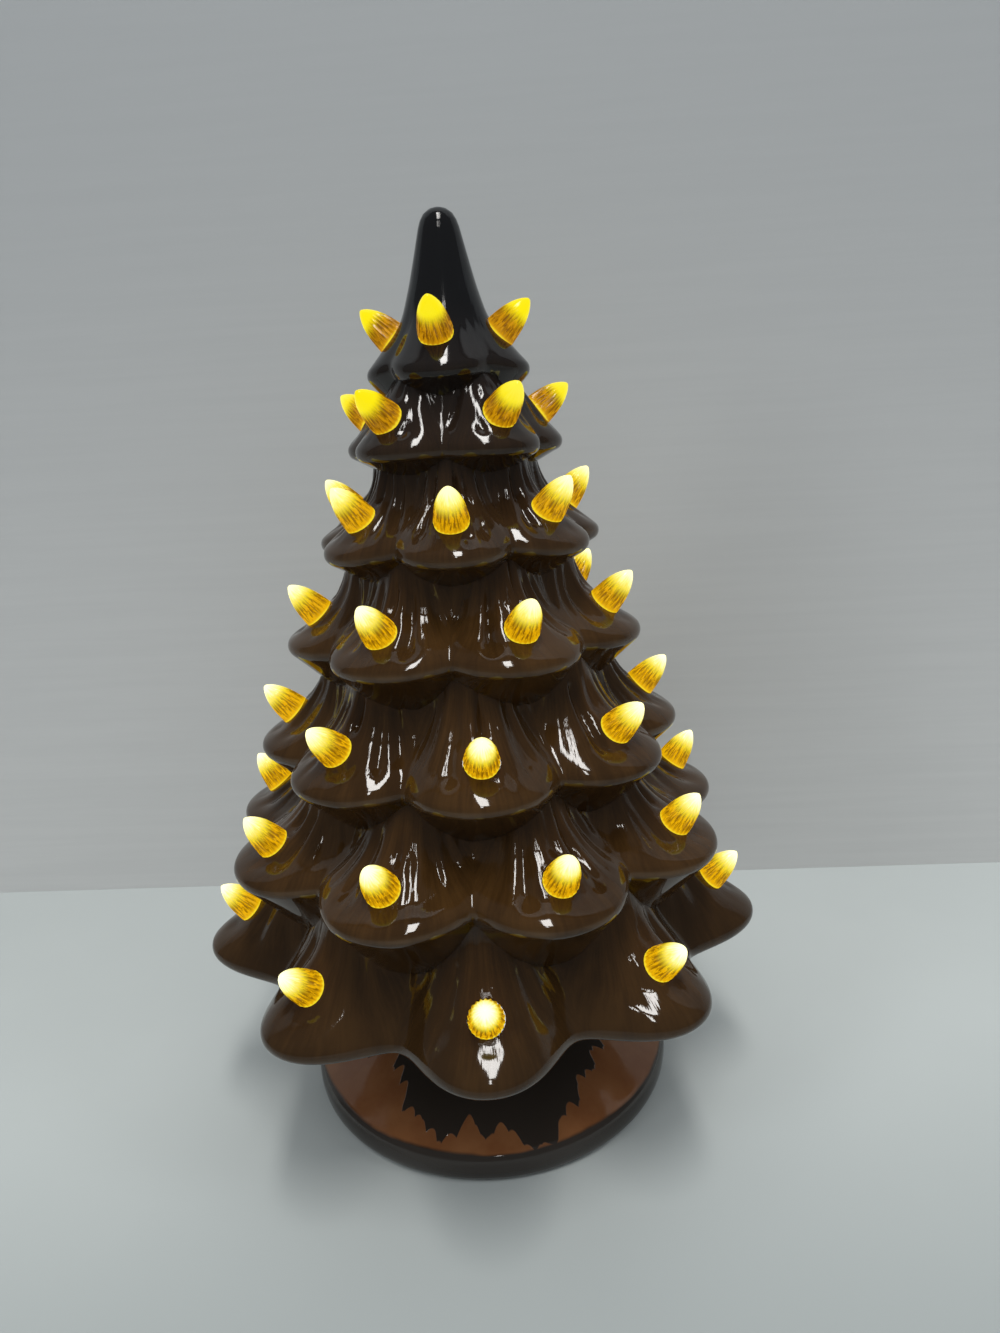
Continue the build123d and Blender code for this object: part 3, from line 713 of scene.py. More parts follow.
class Finish:
    """A material with short calls for its nodes, on Object coordinates."""

    def __init__(self, name):
        self.material = bpy.data.materials.new(name)
        self.material.use_nodes = True
        self.tree = self.material.node_tree
        self.shader = self.tree.nodes["Principled BSDF"]
        self.place = self.add("ShaderNodeTexCoord").outputs["Object"]

    def put(self, socket, value):
        """Sets a socket's own value, or links an output to it."""
        if isinstance(value, bpy.types.NodeSocket):
            self.tree.links.new(value, socket)
        elif socket.type == "RGBA":
            socket.default_value = (*value[:3], 1.0)
        else:
            socket.default_value = value

    def add(self, kind, inputs=None, **settings):
        """A new node with its settings and inputs."""
        node = self.tree.nodes.new(kind)
        for key, value in settings.items():
            setattr(node, key, value)
        for key, value in (inputs or {}).items():
            self.put(node.inputs[key], value)
        return node

    def math(self, operation, first, second=0.0):
        """A Math node's output."""
        return self.add("ShaderNodeMath", {0: first, 1: second}, operation=operation).outputs[0]

    def times(self, first, second):
        """Two values multiplied."""
        return self.math("MULTIPLY", first, second)

    def plus(self, first, second):
        """Two values added."""
        return self.math("ADD", first, second)

    def larger(self, first, second):
        """The larger of two values."""
        return self.math("MAXIMUM", first, second)

    def less(self, first, second):
        """One value less another."""
        return self.math("SUBTRACT", first, second)

    def noise(self, scale, detail=3.0, rough=0.5, vector=None):
        """A Noise node's output, 0 to 1."""
        place = vector or self.place
        inputs = {"Vector": place, "Scale": scale, "Detail": detail, "Roughness": rough}
        return self.add("ShaderNodeTexNoise", inputs).outputs["Fac"]

    def ease(self, value, start, end, low=0.0, high=1.0):
        """A value carried smoothly from one range to another."""
        inputs = {"Value": value, "From Min": start, "From Max": end, "To Min": low, "To Max": high}
        node = self.add("ShaderNodeMapRange", inputs, interpolation_type="SMOOTHSTEP")
        return node.outputs["Result"]

    def between(self, value, start, end):
        """1 between two soft edges, each given from its outer to its inner side."""
        return self.times(self.ease(value, *start), self.ease(value, *end))

    def mix(self, share, first, second):
        """One colour mixed with another."""
        return self.add("ShaderNodeMix", {0: share, 6: first, 7: second}, data_type="RGBA").outputs[2]

    def bump(self, height, strength, distance):
        """Sends a height to the shader's normal, in metres."""
        inputs = {"Height": height, "Strength": strength, "Distance": distance}
        self.put(self.shader.inputs["Normal"], self.add("ShaderNodeBump", inputs).outputs["Normal"])

    def axes(self):
        """X, Y and Z of the place."""
        return self.add("ShaderNodeSeparateXYZ", {"Vector": self.place}).outputs

    def pair(self, first, second):
        """Two values as a place for a pattern."""
        return self.add("ShaderNodeCombineXYZ", {0: first, 1: second}).outputs[0]

    def stretched(self, scale):
        """The place, scaled along each axis."""
        return self.add("ShaderNodeMapping", {"Vector": self.place, "Scale": scale}).outputs[0]

    def attribute(self, name):
        """A value stored on the piece's own points."""
        return self.add("ShaderNodeAttribute", attribute_name=name).outputs["Fac"]

    def set(self, **values):
        """Sets the shader's sockets by name, with _ for a space."""
        for key, value in values.items():
            self.put(self.shader.inputs[key.replace("_", " ")], value)
        return self.material


def tree_glaze(colours):
    """Dark brown glaze, thinner and lighter in patches and streaks, teal-black towards the tip."""
    finish = Finish("brown_black_glaze")
    z = finish.axes()[2]
    pool = finish.noise(26.0, 4.0, 0.55)
    across, along = finish.attribute("fan"), finish.attribute("down")
    fan = finish.pair(finish.times(across, 6.0), finish.times(along, 0.7))
    stroke = finish.noise(1.0, 1.0, 0.4, fan)
    fine = finish.noise(4.0, 2.0, 0.6, fan)
    thin = finish.plus(finish.times(pool, 0.5), finish.times(stroke, 0.25))
    thin = finish.plus(thin, finish.times(fine, 0.25))
    colour = finish.mix(finish.ease(thin, 0.40, 0.62), colours.tree_glaze, colours.thin_glaze)
    worn = finish.ease(finish.noise(70.0, 3.0), 0.3, 0.65, 0.1, 0.7)
    colour = finish.mix(finish.times(finish.attribute("edge"), worn), colour, colours.edge_glaze)
    colour = finish.mix(finish.ease(z, *LOW_GLAZE_Z, 0.0, 0.6), colour, colours.low_glaze)
    tip = finish.ease(finish.plus(z, finish.times(pool, TIP_GLAZE_WAVER)), *TIP_GLAZE_Z)
    colour = finish.mix(tip, colour, colours.tip_glaze)
    brushed = finish.plus(stroke, finish.times(fine, 0.5))
    finish.bump(finish.times(brushed, finish.attribute("stroke")), 0.08, 0.0012)
    rough = finish.ease(finish.noise(18.0, 2.0), 0.3, 0.8, 0.045, 0.085)
    return finish.set(Base_Color=colour, Roughness=rough, IOR=1.5, Specular_IOR_Level=0.4)


def bulb_plastic(colours):
    """Amber plastic lit from inside: streaked and fluted below, glowing at the tip."""
    finish = Finish("lit_amber_plastic")
    rise, turn = finish.attribute("rise"), finish.attribute("turn")
    glow, flute = finish.attribute("glow"), finish.attribute("flute")
    streak = finish.noise(1.0, 3.0, 0.7, finish.pair(finish.times(turn, 40.0), finish.times(rise, 3.2)))
    lines = finish.times(finish.ease(streak, 0.43, 0.53), finish.ease(flute, 0.2, 0.8, 1.0, 0.6))
    band = finish.between(rise, (0.05, 0.22), (0.72, 0.42))
    waver = finish.plus(rise, finish.times(finish.less(streak, 0.5), 0.45))
    cool = finish.mix(finish.ease(waver, 0.32, 0.70), colours.bulb_amber, colours.bulb_yellow)
    shade = finish.times(band, finish.plus(0.1, finish.times(lines, 0.85)))
    cool = finish.mix(shade, cool, colours.bulb_streak)
    hot = finish.mix(finish.ease(waver, 0.34, 0.60), colours.bulb_honey, colours.bulb_gold)
    hot = finish.mix(finish.ease(waver, 0.54, 0.92), hot, colours.bulb_hot)
    shade = finish.times(finish.times(band, lines), 0.85)
    hot = finish.mix(shade, hot, colours.bulb_streak)
    colour = finish.mix(glow, cool, hot)
    rim = finish.ease(rise, 0.1, 0.03)
    colour = finish.mix(finish.times(rim, 0.8), colour, colours.bulb_gold)
    strength = finish.times(finish.ease(waver, 0.66, 1.0), finish.times(glow, 0.8))
    return finish.set(
        Base_Color=colours.bulb_plastic,
        Roughness=0.16,
        Specular_IOR_Level=0.25,
        Emission_Color=colour,
        Emission_Strength=finish.plus(strength, 1.0),
    )


def wheel(finish):
    """Direction around the axis as two coordinates, distance from the axis, and height."""
    x, y, z = finish.axes()
    r = finish.math("SQRT", finish.plus(finish.times(x, x), finish.times(y, y)))
    safe = finish.larger(r, 0.0005)
    return finish.math("DIVIDE", x, safe), finish.math("DIVIDE", y, safe), r, z


def stand_glaze(colours):
    """Orange slope with a black rim, and black running down the trunk in points."""
    finish = Finish("orange_and_black_glaze")
    across, along, r, z = wheel(finish)
    around = finish.pair(across, along)
    reach = finish.ease(along, *TRUNK_FRONT, *TRUNK_REACH)
    for scale, power, length in TRUNK_POINTS:
        cells = finish.add("ShaderNodeTexVoronoi", {"Vector": around, "Scale": scale})
        points = finish.math("POWER", cells.outputs["Distance"], power)
        reach = finish.plus(reach, finish.times(points, length))
    reach = finish.plus(reach, finish.times(finish.noise(160.0, 2.0), TRUNK_FRAY))
    trunk = finish.ease(finish.less(reach, r), *TRUNK_EDGE)
    waver = finish.times(finish.noise(45.0, 2.0), RIM_GLAZE_WAVER)
    black = finish.larger(trunk, finish.ease(finish.plus(z, waver), *RIM_GLAZE_Z))
    wash = finish.noise(55.0, 5.0, 0.6)
    orange = finish.mix(finish.ease(wash, 0.3, 0.75), colours.stand_orange, colours.stand_amber)
    colour = finish.mix(black, orange, colours.stand_black)
    finish.bump(finish.plus(finish.times(black, 0.6), finish.times(wash, 0.25)), 0.5, 0.0004)
    rough = finish.ease(finish.noise(70.0), 0.3, 0.8, 0.07, 0.15)
    return finish.set(Base_Color=colour, Roughness=rough, IOR=1.5)


def felt_cloth(colours):
    """Matted black felt."""
    finish = Finish("black_felt")
    fibres = finish.noise(900.0, 5.0, 0.75)
    matted = finish.noise(140.0, 4.0, 0.6)
    colour = finish.mix(finish.ease(fibres, 0.35, 0.7), colours.felt_black, colours.felt_grey)
    finish.bump(finish.plus(fibres, matted), 0.7, 0.0005)
    return finish.set(Base_Color=colour, Roughness=0.95, Sheen_Weight=0.4)


def moulded_plastic(name, colour, shade, roughness):
    """Moulded plastic with a fine grain and slight flow marks."""
    finish = Finish(name)
    flow_marks = finish.noise(30.0, 4.0, 0.6)
    grain = finish.noise(1400.0, 2.0)
    base = finish.mix(finish.ease(flow_marks, 0.3, 0.75), colour, shade)
    finish.bump(finish.plus(grain, finish.times(flow_marks, 0.4)), 0.25, 0.0002)
    rough = finish.ease(grain, 0.2, 0.8, roughness - 0.06, roughness + 0.08)
    return finish.set(Base_Color=base, Roughness=rough)


def nickel_plate(colours):
    """Nickel plate with drawn lines and a little tarnish."""
    finish = Finish("nickel_plate")
    lines = finish.noise(320.0, 3.0, 0.6, finish.stretched((1.0, 14.0, 1.0)))
    tarnish = finish.noise(120.0, 4.0)
    colour = finish.mix(finish.ease(tarnish, 0.5, 0.85), colours.nickel, colours.nickel_dull)
    finish.bump(lines, 0.2, 0.0001)
    rough = finish.ease(lines, 0.2, 0.8, 0.18, 0.36)
    return finish.set(Base_Color=colour, Metallic=1.0, Roughness=rough)


def cell_sleeve(colours, number, positive_x):
    """A cell: plain dark sleeve with a copper band at the nub's end and steel ends."""
    finish = Finish(f"cell_sleeve_{number}")
    x = finish.times(finish.axes()[0], positive_x)
    band = finish.larger(finish.between(x, *CELL_BAND), finish.between(x, *CELL_LINE))
    ends = finish.larger(*[finish.ease(x, *edge) for edge in CELL_ENDS])
    scuff = finish.noise(90.0, 5.0, 0.65)
    colour = finish.mix(finish.ease(scuff, 0.35, 0.8), colours.sleeve, colours.sleeve_worn)
    colour = finish.mix(band, colour, colours.sleeve_band)
    colour = finish.mix(ends, colour, colours.nickel)
    finish.bump(scuff, 0.15, 0.0002)
    rough = finish.ease(scuff, 0.3, 0.8, 0.24, 0.38)
    return finish.set(Base_Color=colour, Metallic=ends, Roughness=rough)


def circuit_board(name, mask, copper, scale):
    """Solder mask with traces showing through it."""
    finish = Finish(name)
    traces = finish.add(
        "ShaderNodeTexBrick",
        {"Vector": finish.place, "Scale": scale, "Mortar Size": 0.09, "Mortar Smooth": 0.2,
         "Brick Width": 1.3, "Row Height": 0.55},
        offset=0.4,
    ).outputs["Fac"]
    weave = finish.noise(700.0, 2.0)
    colour = finish.mix(finish.times(traces, 0.7), mask, copper)
    finish.bump(finish.plus(traces, finish.times(weave, 0.3)), 0.3, 0.0001)
    return finish.set(Base_Color=colour, Roughness=finish.ease(weave, 0.2, 0.8, 0.26, 0.4))


def lit_plastic(name, colour, light, strength, roughness):
    """Milky plastic with light in it, uneven as frosting is."""
    finish = Finish(name)
    frost = finish.noise(500.0, 4.0, 0.7)
    cloud = finish.noise(40.0, 3.0)
    shine = finish.mix(finish.ease(cloud, 0.3, 0.7), light, colour)
    finish.bump(frost, 0.2, 0.0002)
    rough = finish.ease(frost, 0.2, 0.8, roughness - 0.08, roughness + 0.08)
    return finish.set(Base_Color=colour, Roughness=rough, Emission_Color=shine, Emission_Strength=strength)


def wire_skin(name, colour, shade):
    """Soft wire insulation with a dull skin."""
    finish = Finish(name)
    bloom = finish.noise(220.0, 4.0, 0.6)
    base = finish.mix(finish.ease(bloom, 0.35, 0.75), colour, shade)
    finish.bump(bloom, 0.15, 0.0002)
    return finish.set(Base_Color=base, Roughness=finish.ease(bloom, 0.2, 0.8, 0.38, 0.55))


def one_sided(finish, seen):
    """Shows a sheet's front to some rays, and lets the others and the views from behind through."""
    behind = finish.add("ShaderNodeNewGeometry").outputs["Backfacing"]
    share = finish.times(seen, finish.less(1.0, behind))
    clear = finish.add("ShaderNodeBsdfTransparent").outputs[0]
    paint = finish.add("ShaderNodeMixShader", {0: share, 1: clear, 2: finish.shader.outputs[0]})
    finish.put(finish.tree.nodes["Material Output"].inputs["Surface"], paint.outputs[0])


def wall_paint(colours):
    """Wall seen from the front, letting light and other views through; painted light makes its foot
    lighter.
    """
    finish = Finish("wall_paint")
    lines = finish.noise(9.0, 4.0, 0.6, finish.stretched((1.0, 1.0, 26.0)))
    # painted light: the wall is painted lighter towards its foot and darker towards its top
    rise = finish.ease(finish.axes()[2], *WALL_PAINTED_LIGHT_Z)
    colour = finish.mix(rise, colours.wall_foot_painted_light, colours.wall_grey)
    colour = finish.mix(finish.ease(lines, 0.25, 0.75, 0.0, 0.08), colour, colours.wall_line)
    finish.set(Base_Color=colour, Roughness=0.8, Specular_IOR_Level=0.2)
    ray = finish.add("ShaderNodeLightPath").outputs
    seen = finish.larger(ray["Is Camera Ray"], ray["Is Glossy Ray"])
    one_sided(finish, finish.larger(seen, ray["Is Transmission Ray"]))
    return finish.material


def floor_paint(colours):
    """Pale satin table, clear to shadow rays so light from below passes; painted shade darkens its front.
    """
    finish = Finish("pale_table")
    mottle = finish.noise(5.0, 5.0, 0.6)
    # painted shade: the table is painted darker towards the front
    near = finish.ease(finish.axes()[1], *TABLE_PAINTED_SHADE_Y)
    colour = finish.mix(near, colours.floor_grey, colours.floor_front_painted_shade)
    colour = finish.mix(finish.ease(mottle, 0.3, 0.7, 0.0, 0.1), colour, colours.floor_mottle)
    finish.set(Base_Color=colour, Roughness=0.55, Specular_IOR_Level=0.3)
    shadow = finish.add("ShaderNodeLightPath").outputs["Is Shadow Ray"]
    one_sided(finish, finish.less(1.0, shadow))
    return finish.material


def dress(node, material):
    """Gives a carried-over piece of the frame its finish."""
    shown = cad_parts[node]
    if not shown.material_slots:
        shown.data.materials.append(material)
    for part in shown.material_slots:
        part.material = material


def place_piece(piece, material, body, nodes):
    """Finishes a new piece: its material, its body and what it stands for."""
    piece.data.materials.clear()
    piece.data.materials.append(material)
    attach(piece, body)
    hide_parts(*nodes)


def length_prop(name, description, default, most):
    """A length that a user may change, in metres."""
    return FloatProperty(
        name=name, description=description, default=default, min=0.0, max=most,
        unit="LENGTH", subtype="DISTANCE",
    )


def power_prop(name, description, default):
    """The power of a light, in watts."""
    return FloatProperty(name=name, description=description, default=default, min=0.0, unit="POWER")


def colour_prop(name, description, default):
    """A colour that a user may change."""
    return FloatVectorProperty(
        name=name, description=description, default=default, size=3, subtype="COLOR", min=0.0, max=1.0
    )


class CeramicTreeSizes(PropertyGroup):
    """Sizes of the folds of the tree and of the flutes of its bulbs."""

    fold_depth: length_prop("Fold depth", "Depth of the broad folds down each lobe", 0.0014, 0.003)
    pleat_depth: length_prop("Pleat depth", "Depth of the narrow pleats between the folds", 0.0008, 0.002)
    crease_lift: length_prop("Lip lift", "How far the lip rises where two lobes meet", 0.0042, 0.008)
    flute_depth: length_prop("Flute depth", "Depth of the flutes of a bulb", 0.0006, 0.001)
    flutes: IntProperty(
        name="Flutes", description="Number of flutes around a bulb", default=22, min=8, max=44
    )


class CeramicTreeColours(PropertyGroup):
    """Colours of the glazes, the bulbs, the lamp and the stage."""

    tree_glaze: colour_prop("Tree glaze", "Thick glaze of the tree", (0.031, 0.0145, 0.0043))
    thin_glaze: colour_prop("Thin glaze", "Glaze where it is thin", (0.052, 0.0248, 0.0073))
    edge_glaze: colour_prop("Edge glaze", "Glaze that breaks over the lips", (0.105, 0.062, 0.029))
    low_glaze: colour_prop("Low glaze", "Glaze of the lowest lobes", (0.024, 0.0140, 0.0060))
    tip_glaze: colour_prop("Tip glaze", "Glaze at the top of the tree", (0.006, 0.0062, 0.0072))
    bulb_plastic: colour_prop("Bulb plastic", "Plastic of the bulbs, unlit", (0.12, 0.052, 0.001))
    bulb_amber: colour_prop("Bulb amber", "Lower half of a lit bulb", (0.54, 0.25, 0.002))
    bulb_yellow: colour_prop("Bulb yellow", "Upper half of a lit bulb", (0.92, 0.80, 0.004))
    bulb_honey: colour_prop("Bulb honey", "Lower half of a bright bulb", (0.76, 0.41, 0.002))
    bulb_gold: colour_prop("Bulb gold", "Middle of a bright bulb", (0.95, 0.78, 0.03))
    bulb_hot: colour_prop("Bulb glow", "Tip of a bright bulb", (1.0, 0.97, 0.52))
    bulb_streak: colour_prop("Bulb streak", "Dark streaks between the flutes", (0.12, 0.042, 0.001))
    stand_orange: colour_prop("Stand orange", "Slope of the stand", (0.17, 0.064, 0.024))
    stand_amber: colour_prop("Stand amber", "Thin places on the slope", (0.22, 0.094, 0.037))
    stand_black: colour_prop("Stand black", "Rim and trunk of the stand", (0.027, 0.0210, 0.0168))
    felt_black: colour_prop("Felt", "Felt under the foot", (0.016, 0.016, 0.017))
    felt_grey: colour_prop("Felt fibres", "Lighter fibres of the felt", (0.05, 0.05, 0.052))
    plastic_black: colour_prop("Black plastic", "Tray, door and switch", (0.026, 0.026, 0.028))
    plastic_black_worn: colour_prop("Black plastic marks", "Flow marks", (0.04, 0.04, 0.042))
    plastic_white: colour_prop("White plastic", "Post and slider", (0.78, 0.78, 0.76))
    plastic_white_worn: colour_prop("White plastic marks", "Flow marks", (0.68, 0.68, 0.65))
    sleeve: colour_prop("Cell sleeve", "Sleeve of the cells", (0.03, 0.03, 0.034))
    sleeve_worn: colour_prop("Worn sleeve", "Scuffs on the sleeve", (0.06, 0.06, 0.065))
    sleeve_band: colour_prop("Cell band", "Band at the nub's end", (0.62, 0.27, 0.09))
    nickel: colour_prop("Nickel", "Contacts and screws", (0.72, 0.71, 0.68))
    nickel_dull: colour_prop("Dull nickel", "Tarnish on the plate", (0.5, 0.48, 0.44))
    board_green: colour_prop("Board", "Solder mask of the control board", (0.02, 0.13, 0.05))
    board_trace: colour_prop("Board traces", "Copper under the mask", (0.10, 0.34, 0.12))
    board_white: colour_prop("Lamp board", "White mask of the lamp board", (0.80, 0.80, 0.78))
    board_seam: colour_prop("Lamp board traces", "Copper under the white mask", (0.66, 0.64, 0.58))
    lamp_glow: colour_prop("Lamp glow", "Light in the dome and the chips", (1.0, 0.74, 0.36))
    dome_milk: colour_prop("Dome", "Frosted dome", (0.86, 0.82, 0.73))
    lead_red: colour_prop("Red lead", "Lead to the positive side", (0.42, 0.02, 0.018))
    lead_red_worn: colour_prop("Red lead skin", "Dull skin of the lead", (0.52, 0.05, 0.045))
    lead_black: colour_prop("Black lead", "Lead to the negative side", (0.014, 0.014, 0.015))
    lead_black_worn: colour_prop("Black lead skin", "Dull skin of the lead", (0.03, 0.03, 0.032))
    floor_grey: colour_prop("Floor", "Pale table", (0.52, 0.555, 0.545))
    # painted shade: the front of the table is painted darker
    floor_front_painted_shade: colour_prop("Near floor", "Pale table at the front", (0.30, 0.33, 0.33))
    floor_mottle: colour_prop("Floor mottle", "Faint patches on the table", (0.34, 0.37, 0.37))
    wall_grey: colour_prop("Wall", "Pale wall behind the table", (0.37, 0.385, 0.395))
    # painted light: the foot of the wall is painted lighter than its top
    wall_foot_painted_light: colour_prop("Wall foot", "Pale wall near the table", (0.60, 0.605, 0.60))
    wall_line: colour_prop("Wall lines", "Faint lines in the paint", (0.30, 0.31, 0.32))


class CeramicTreeStage(PropertyGroup):
    """Light and camera."""

    key_power: power_prop("Key light", "Oblong light above and in front", 10.5)
    spot_power: power_prop("Spot", "Small light lower in front", 1.2)
    top_power: power_prop("Top light", "Wide soft light overhead", 14.5)
    side_power: power_prop("Side lights", "Upright lights at both sides", 4.6)
    rear_power: power_prop("Rear light", "Wide soft light behind the wall", 2.6)
    front_power: power_prop("Front light", "Wide soft light behind the camera", 4.0)
    under_power: power_prop("Under light", "Small light on the underside of the stand", 0.1)
    lens: FloatProperty(
        name="Lens", description="Focal length", default=23.52, min=1.0, unit="CAMERA"
    )


def settings():
    """The sizes, colours and stage settings of this scene."""
    scene = bpy.context.scene
    return scene.ceramic_tree_sizes, scene.ceramic_tree_colours, scene.ceramic_tree_stage


class CERAMICTREE_OT_glazed_tree(Operator):
    """Hollow glazed tree: seven lobed tiers in one, holed for the bulbs and the lamp"""

    bl_idname = "ceramic_tree.glazed_tree"
    bl_label = "Glazed tree"

    def execute(self, context):
        sizes, colours, _ = settings()
        tree = lobed_tier(0, sizes)
        for index in range(1, len(TIERS)):
            apply_boolean(tree, lobed_tier(index, sizes), "UNION")
        for index in range(len(TIERS)):
            apply_boolean(tree, tier_hollow(index), "DIFFERENCE")
        apply_boolean(tree, lamp_hole(), "DIFFERENCE")
        apply_boolean(tree, seat_cuts(), "DIFFERENCE")
        tree.name = tree.data.name = "glazed_tree"
        smooth(tree, TREE_SHARP)
        place_piece(tree, tree_glaze(colours), "tree", ["tree_shell"])
        return {"FINISHED"}


class CERAMICTREE_OT_bulbs(Operator):
    """Seven rings of fluted amber bulbs, with their pegs"""

    bl_idname = "ceramic_tree.bulbs"
    bl_label = "Rings of bulbs"

    def execute(self, context):
        sizes, colours, _ = settings()
        model = fluted_bulb(sizes)
        material = bulb_plastic(colours)
        count = len(model.data.vertices)
        draw = np.random.default_rng(BULB_SEED)
        for number, tier in enumerate(TIERS, start=1):
            ring = []
            for seat in bulb_seats(tier):
                bulb = copy_of(model, seat @ Matrix.Rotation(draw.uniform(0, 2 * pi), 4, "Z"))
                glow = np.full(count, tier.glow + draw.uniform(-GLOW_SPREAD, GLOW_SPREAD), np.float32)
                bulb.data.attributes["glow"].data.foreach_set("value", np.clip(glow, 0, 1))
                ring.append(bulb)
            lights = joined(f"tier_{number}_lights", ring)
            place_piece(lights, material, "tree", [f"tier_{number}_bulbs"])
        remove(model)
        return {"FINISHED"}


class CERAMICTREE_OT_stand(Operator):
    """Glazed stand: foot, rounded rim, sloping top, trunk and spigot"""

    bl_idname = "ceramic_tree.stand"
    bl_label = "Glazed stand"

    def execute(self, context):
        _, colours, _ = settings()
        stand = turned("glazed_stand", STAND_LINE, STAND_COLUMNS, ring=True)
        smooth(stand, STAND_SHARP)
        place_piece(stand, stand_glaze(colours), "stand", ["base_stand"])
        return {"FINISHED"}


class CERAMICTREE_OT_felt(Operator):
    """Felt ring under the foot, soft at its edges"""

    bl_idname = "ceramic_tree.felt"
    bl_label = "Felt ring"

    def execute(self, context):
        _, colours, _ = settings()
        felt = turned("foot_felt", FELT_LINE, FELT_COLUMNS, ring=True)
        places = vertex_places(felt)
        draw = np.random.default_rng(FELT_SEED)
        r = np.hypot(places[:, 0], places[:, 1])
        inset = draw.uniform(0, FELT_FRAY, len(r)) * np.where(r > FELT_MIDDLE_R, -1, 1)
        places[:, :2] *= ((r + inset) / r)[:, None]
        set_places(felt, places)
        smooth(felt, FELT_SHARP)
        place_piece(felt, felt_cloth(colours), "stand", ["felt_ring"])
        return {"FINISHED"}


class CERAMICTREE_OT_battery_bay(Operator):
    """Finishes of the tray, its door, the cells and their contacts, and the screws"""

    bl_idname = "ceramic_tree.battery_bay"
    bl_label = "Battery bay"

    def execute(self, context):
        _, colours, _ = settings()
        black = moulded_plastic("black_moulded", colours.plastic_black, colours.plastic_black_worn, 0.5)
        for node in ("battery_tray", "battery_door"):
            dress(node, black)
        for number, positive_x in ((1, 1.0), (2, -1.0), (3, 1.0)):
            dress(f"cell_{number}", cell_sleeve(colours, number, positive_x))
        nickel = nickel_plate(colours)
        for node in ("positive_contacts", "negative_contacts", "post_screws"):
            dress(node, nickel)
        return {"FINISHED"}


class CERAMICTREE_OT_switch(Operator):
    """Finishes of the switch, the control board and what is on it"""

    bl_idname = "ceramic_tree.switch"
    bl_label = "Switch and board"

    def execute(self, context):
        _, colours, _ = settings()
        dark = moulded_plastic("switch_black", colours.plastic_black, colours.plastic_black_worn, 0.42)
        for node in ("switch_body", "board_components"):
            dress(node, dark)
        white = moulded_plastic("slider_white", colours.plastic_white, colours.plastic_white_worn, 0.4)
        dress("switch_slider", white)
        board = circuit_board("green_board", colours.board_green, colours.board_trace, 260.0)
        dress("control_board", board)
        return {"FINISHED"}


class CERAMICTREE_OT_lamp(Operator):
    """Finishes of the post, the lamp board, its chips, the dome and the leads"""

    bl_idname = "ceramic_tree.lamp"
    bl_label = "Lamp"

    def execute(self, context):
        _, colours, _ = settings()
        white = moulded_plastic("post_white", colours.plastic_white, colours.plastic_white_worn, 0.45)
        dress("lamp_post", white)
        dress("led_board", circuit_board("white_board", colours.board_white, colours.board_seam, 180.0))
        dress("led_chips", lit_plastic("lit_chips", colours.lamp_glow, colours.lamp_glow, 2.0, 0.3))
        dress("lamp_dome", lit_plastic("frosted_dome", colours.dome_milk, colours.lamp_glow, 0.55, 0.5))
        dress("lead_plus", wire_skin("red_insulation", colours.lead_red, colours.lead_red_worn))
        dress("lead_minus", wire_skin("black_insulation", colours.lead_black, colours.lead_black_worn))
        return {"FINISHED"}


def stage_plane(name, size, material, place):
    """A flat sheet of the stage."""
    clear_selection()
    bpy.ops.mesh.primitive_plane_add(size=size)
    sheet = bpy.context.object
    sheet.name = name
    sheet.data.transform(place)
    sheet.data.materials.append(material)


def soft_light(lamp, power):
    """A soft oblong light that looks at a point and may stay out of reflections."""
    data = bpy.data.lights.new(lamp.name, "AREA")
    data.shape = "RECTANGLE"
    data.size, data.size_y = lamp.size
    data.energy = power
    data.color = lamp.colour
    data.spread = radians(lamp.spread)
    light = bpy.data.objects.new(lamp.name, data)
    bpy.context.scene.collection.objects.link(light)
    look = Vector(lamp.place) - Vector(lamp.aim)
    turn = look.to_track_quat("Z", "Y").to_matrix().to_4x4()
    light.matrix_world = Matrix.Translation(lamp.place) @ turn
    light.visible_glossy = lamp.shine


def room_light(scene):
    """Weak even light from all around."""
    world = bpy.data.worlds.new("grey_room")
    world.use_nodes = True
    sky = world.node_tree.nodes["Background"]
    sky.inputs["Color"].default_value = ROOM_COLOUR
    sky.inputs["Strength"].default_value = ROOM_STRENGTH
    scene.world = world


def add_camera(scene, focal_length):
    """The camera, in front of the tree and looking down at it."""
    lens = bpy.data.cameras.new("camera")
    lens.lens = focal_length
    lens.sensor_width = SENSOR_W
    camera = bpy.data.objects.new("camera", lens)
    scene.collection.objects.link(camera)
    camera.matrix_world = (
        Matrix.Translation(CAMERA_PLACE)
        @ Matrix.Rotation(-radians(CAMERA_YAW), 4, "Z")
        @ Matrix.Rotation(pi / 2 - radians(CAMERA_PITCH), 4, "X")
        @ Matrix.Rotation(-radians(CAMERA_ROLL), 4, "Z")
    )
    scene.camera = camera


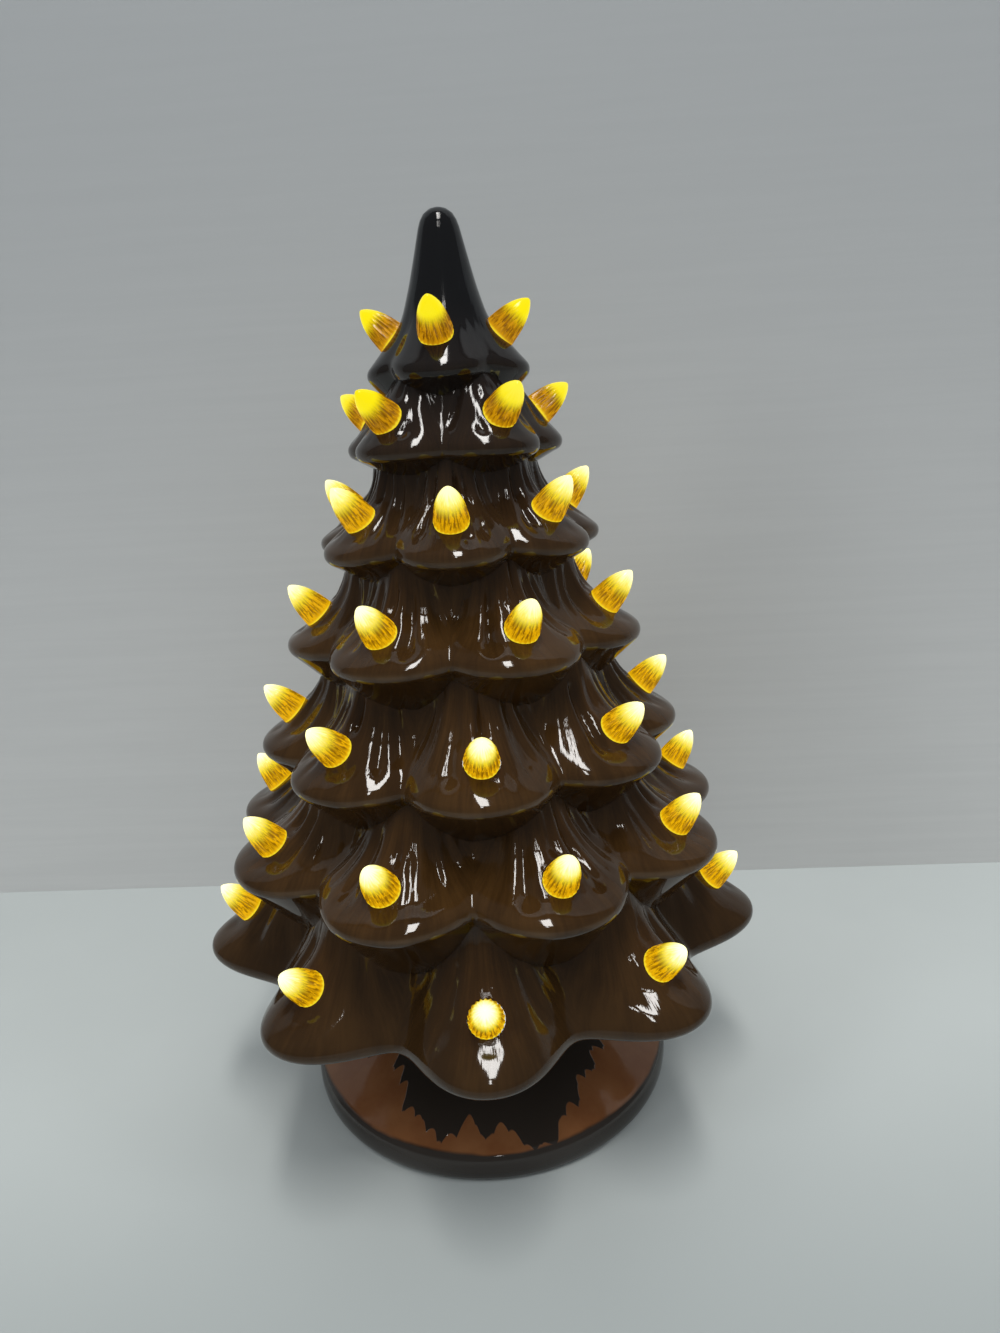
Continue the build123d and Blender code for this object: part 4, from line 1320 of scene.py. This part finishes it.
class CERAMICTREE_OT_stage(Operator):
    """Pale table and wall, soft lights and the camera"""

    bl_idname = "ceramic_tree.stage"
    bl_label = "Stage"

    def execute(self, context):
        _, colours, stage = settings()
        table = Matrix.Translation((0, 0, -TABLE_DROP))
        stage_plane("table", TABLE_SIZE, floor_paint(colours), table)
        wall = Matrix.Translation(WALL_FOOT) @ Matrix.Rotation(radians(WALL_TURN), 4, "Z")
        raised = Matrix.Translation((0, 0, WALL_SIZE / 2))
        upright = Matrix.Rotation(radians(90), 4, "X")
        stage_plane("wall", WALL_SIZE, wall_paint(colours), wall @ raised @ upright)
        for lamp in LAMPS:
            soft_light(lamp, getattr(stage, lamp.power) * lamp.share)
        room_light(context.scene)
        add_camera(context.scene, stage.lens)
        context.scene.view_settings.view_transform = "Standard"
        return {"FINISHED"}


OPERATORS = (
    CERAMICTREE_OT_glazed_tree,
    CERAMICTREE_OT_bulbs,
    CERAMICTREE_OT_stand,
    CERAMICTREE_OT_felt,
    CERAMICTREE_OT_battery_bay,
    CERAMICTREE_OT_switch,
    CERAMICTREE_OT_lamp,
    CERAMICTREE_OT_stage,
)


class CERAMICTREE_PT_panel(Panel):
    """Lists the pieces of the tree with their sizes and colours"""

    bl_label = "Ceramic Tree"
    bl_idname = "CERAMICTREE_PT_panel"
    bl_space_type = "VIEW_3D"
    bl_region_type = "UI"
    bl_category = "Ceramic Tree"

    def draw(self, context):
        for step in OPERATORS:
            self.layout.operator(step.bl_idname)
        for group in settings():
            column = self.layout.column()
            for name in group.__annotations__:
                column.prop(group, name)


CLASSES = (CeramicTreeSizes, CeramicTreeColours, CeramicTreeStage, *OPERATORS, CERAMICTREE_PT_panel)


def register():
    """Adds the classes and their settings."""
    for item in CLASSES:
        bpy.utils.register_class(item)
    bpy.types.Scene.ceramic_tree_sizes = PointerProperty(type=CeramicTreeSizes)
    bpy.types.Scene.ceramic_tree_colours = PointerProperty(type=CeramicTreeColours)
    bpy.types.Scene.ceramic_tree_stage = PointerProperty(type=CeramicTreeStage)


def unregister():
    """Takes the settings and the classes away."""
    del bpy.types.Scene.ceramic_tree_stage
    del bpy.types.Scene.ceramic_tree_colours
    del bpy.types.Scene.ceramic_tree_sizes
    for item in reversed(CLASSES):
        bpy.utils.unregister_class(item)


def main():
    """Makes the whole scene."""
    register()
    bpy.ops.ceramic_tree.glazed_tree()
    bpy.ops.ceramic_tree.bulbs()
    bpy.ops.ceramic_tree.stand()
    bpy.ops.ceramic_tree.felt()
    bpy.ops.ceramic_tree.battery_bay()
    bpy.ops.ceramic_tree.switch()
    bpy.ops.ceramic_tree.lamp()
    bpy.ops.ceramic_tree.stage()


if __name__ == "__main__":
    main()
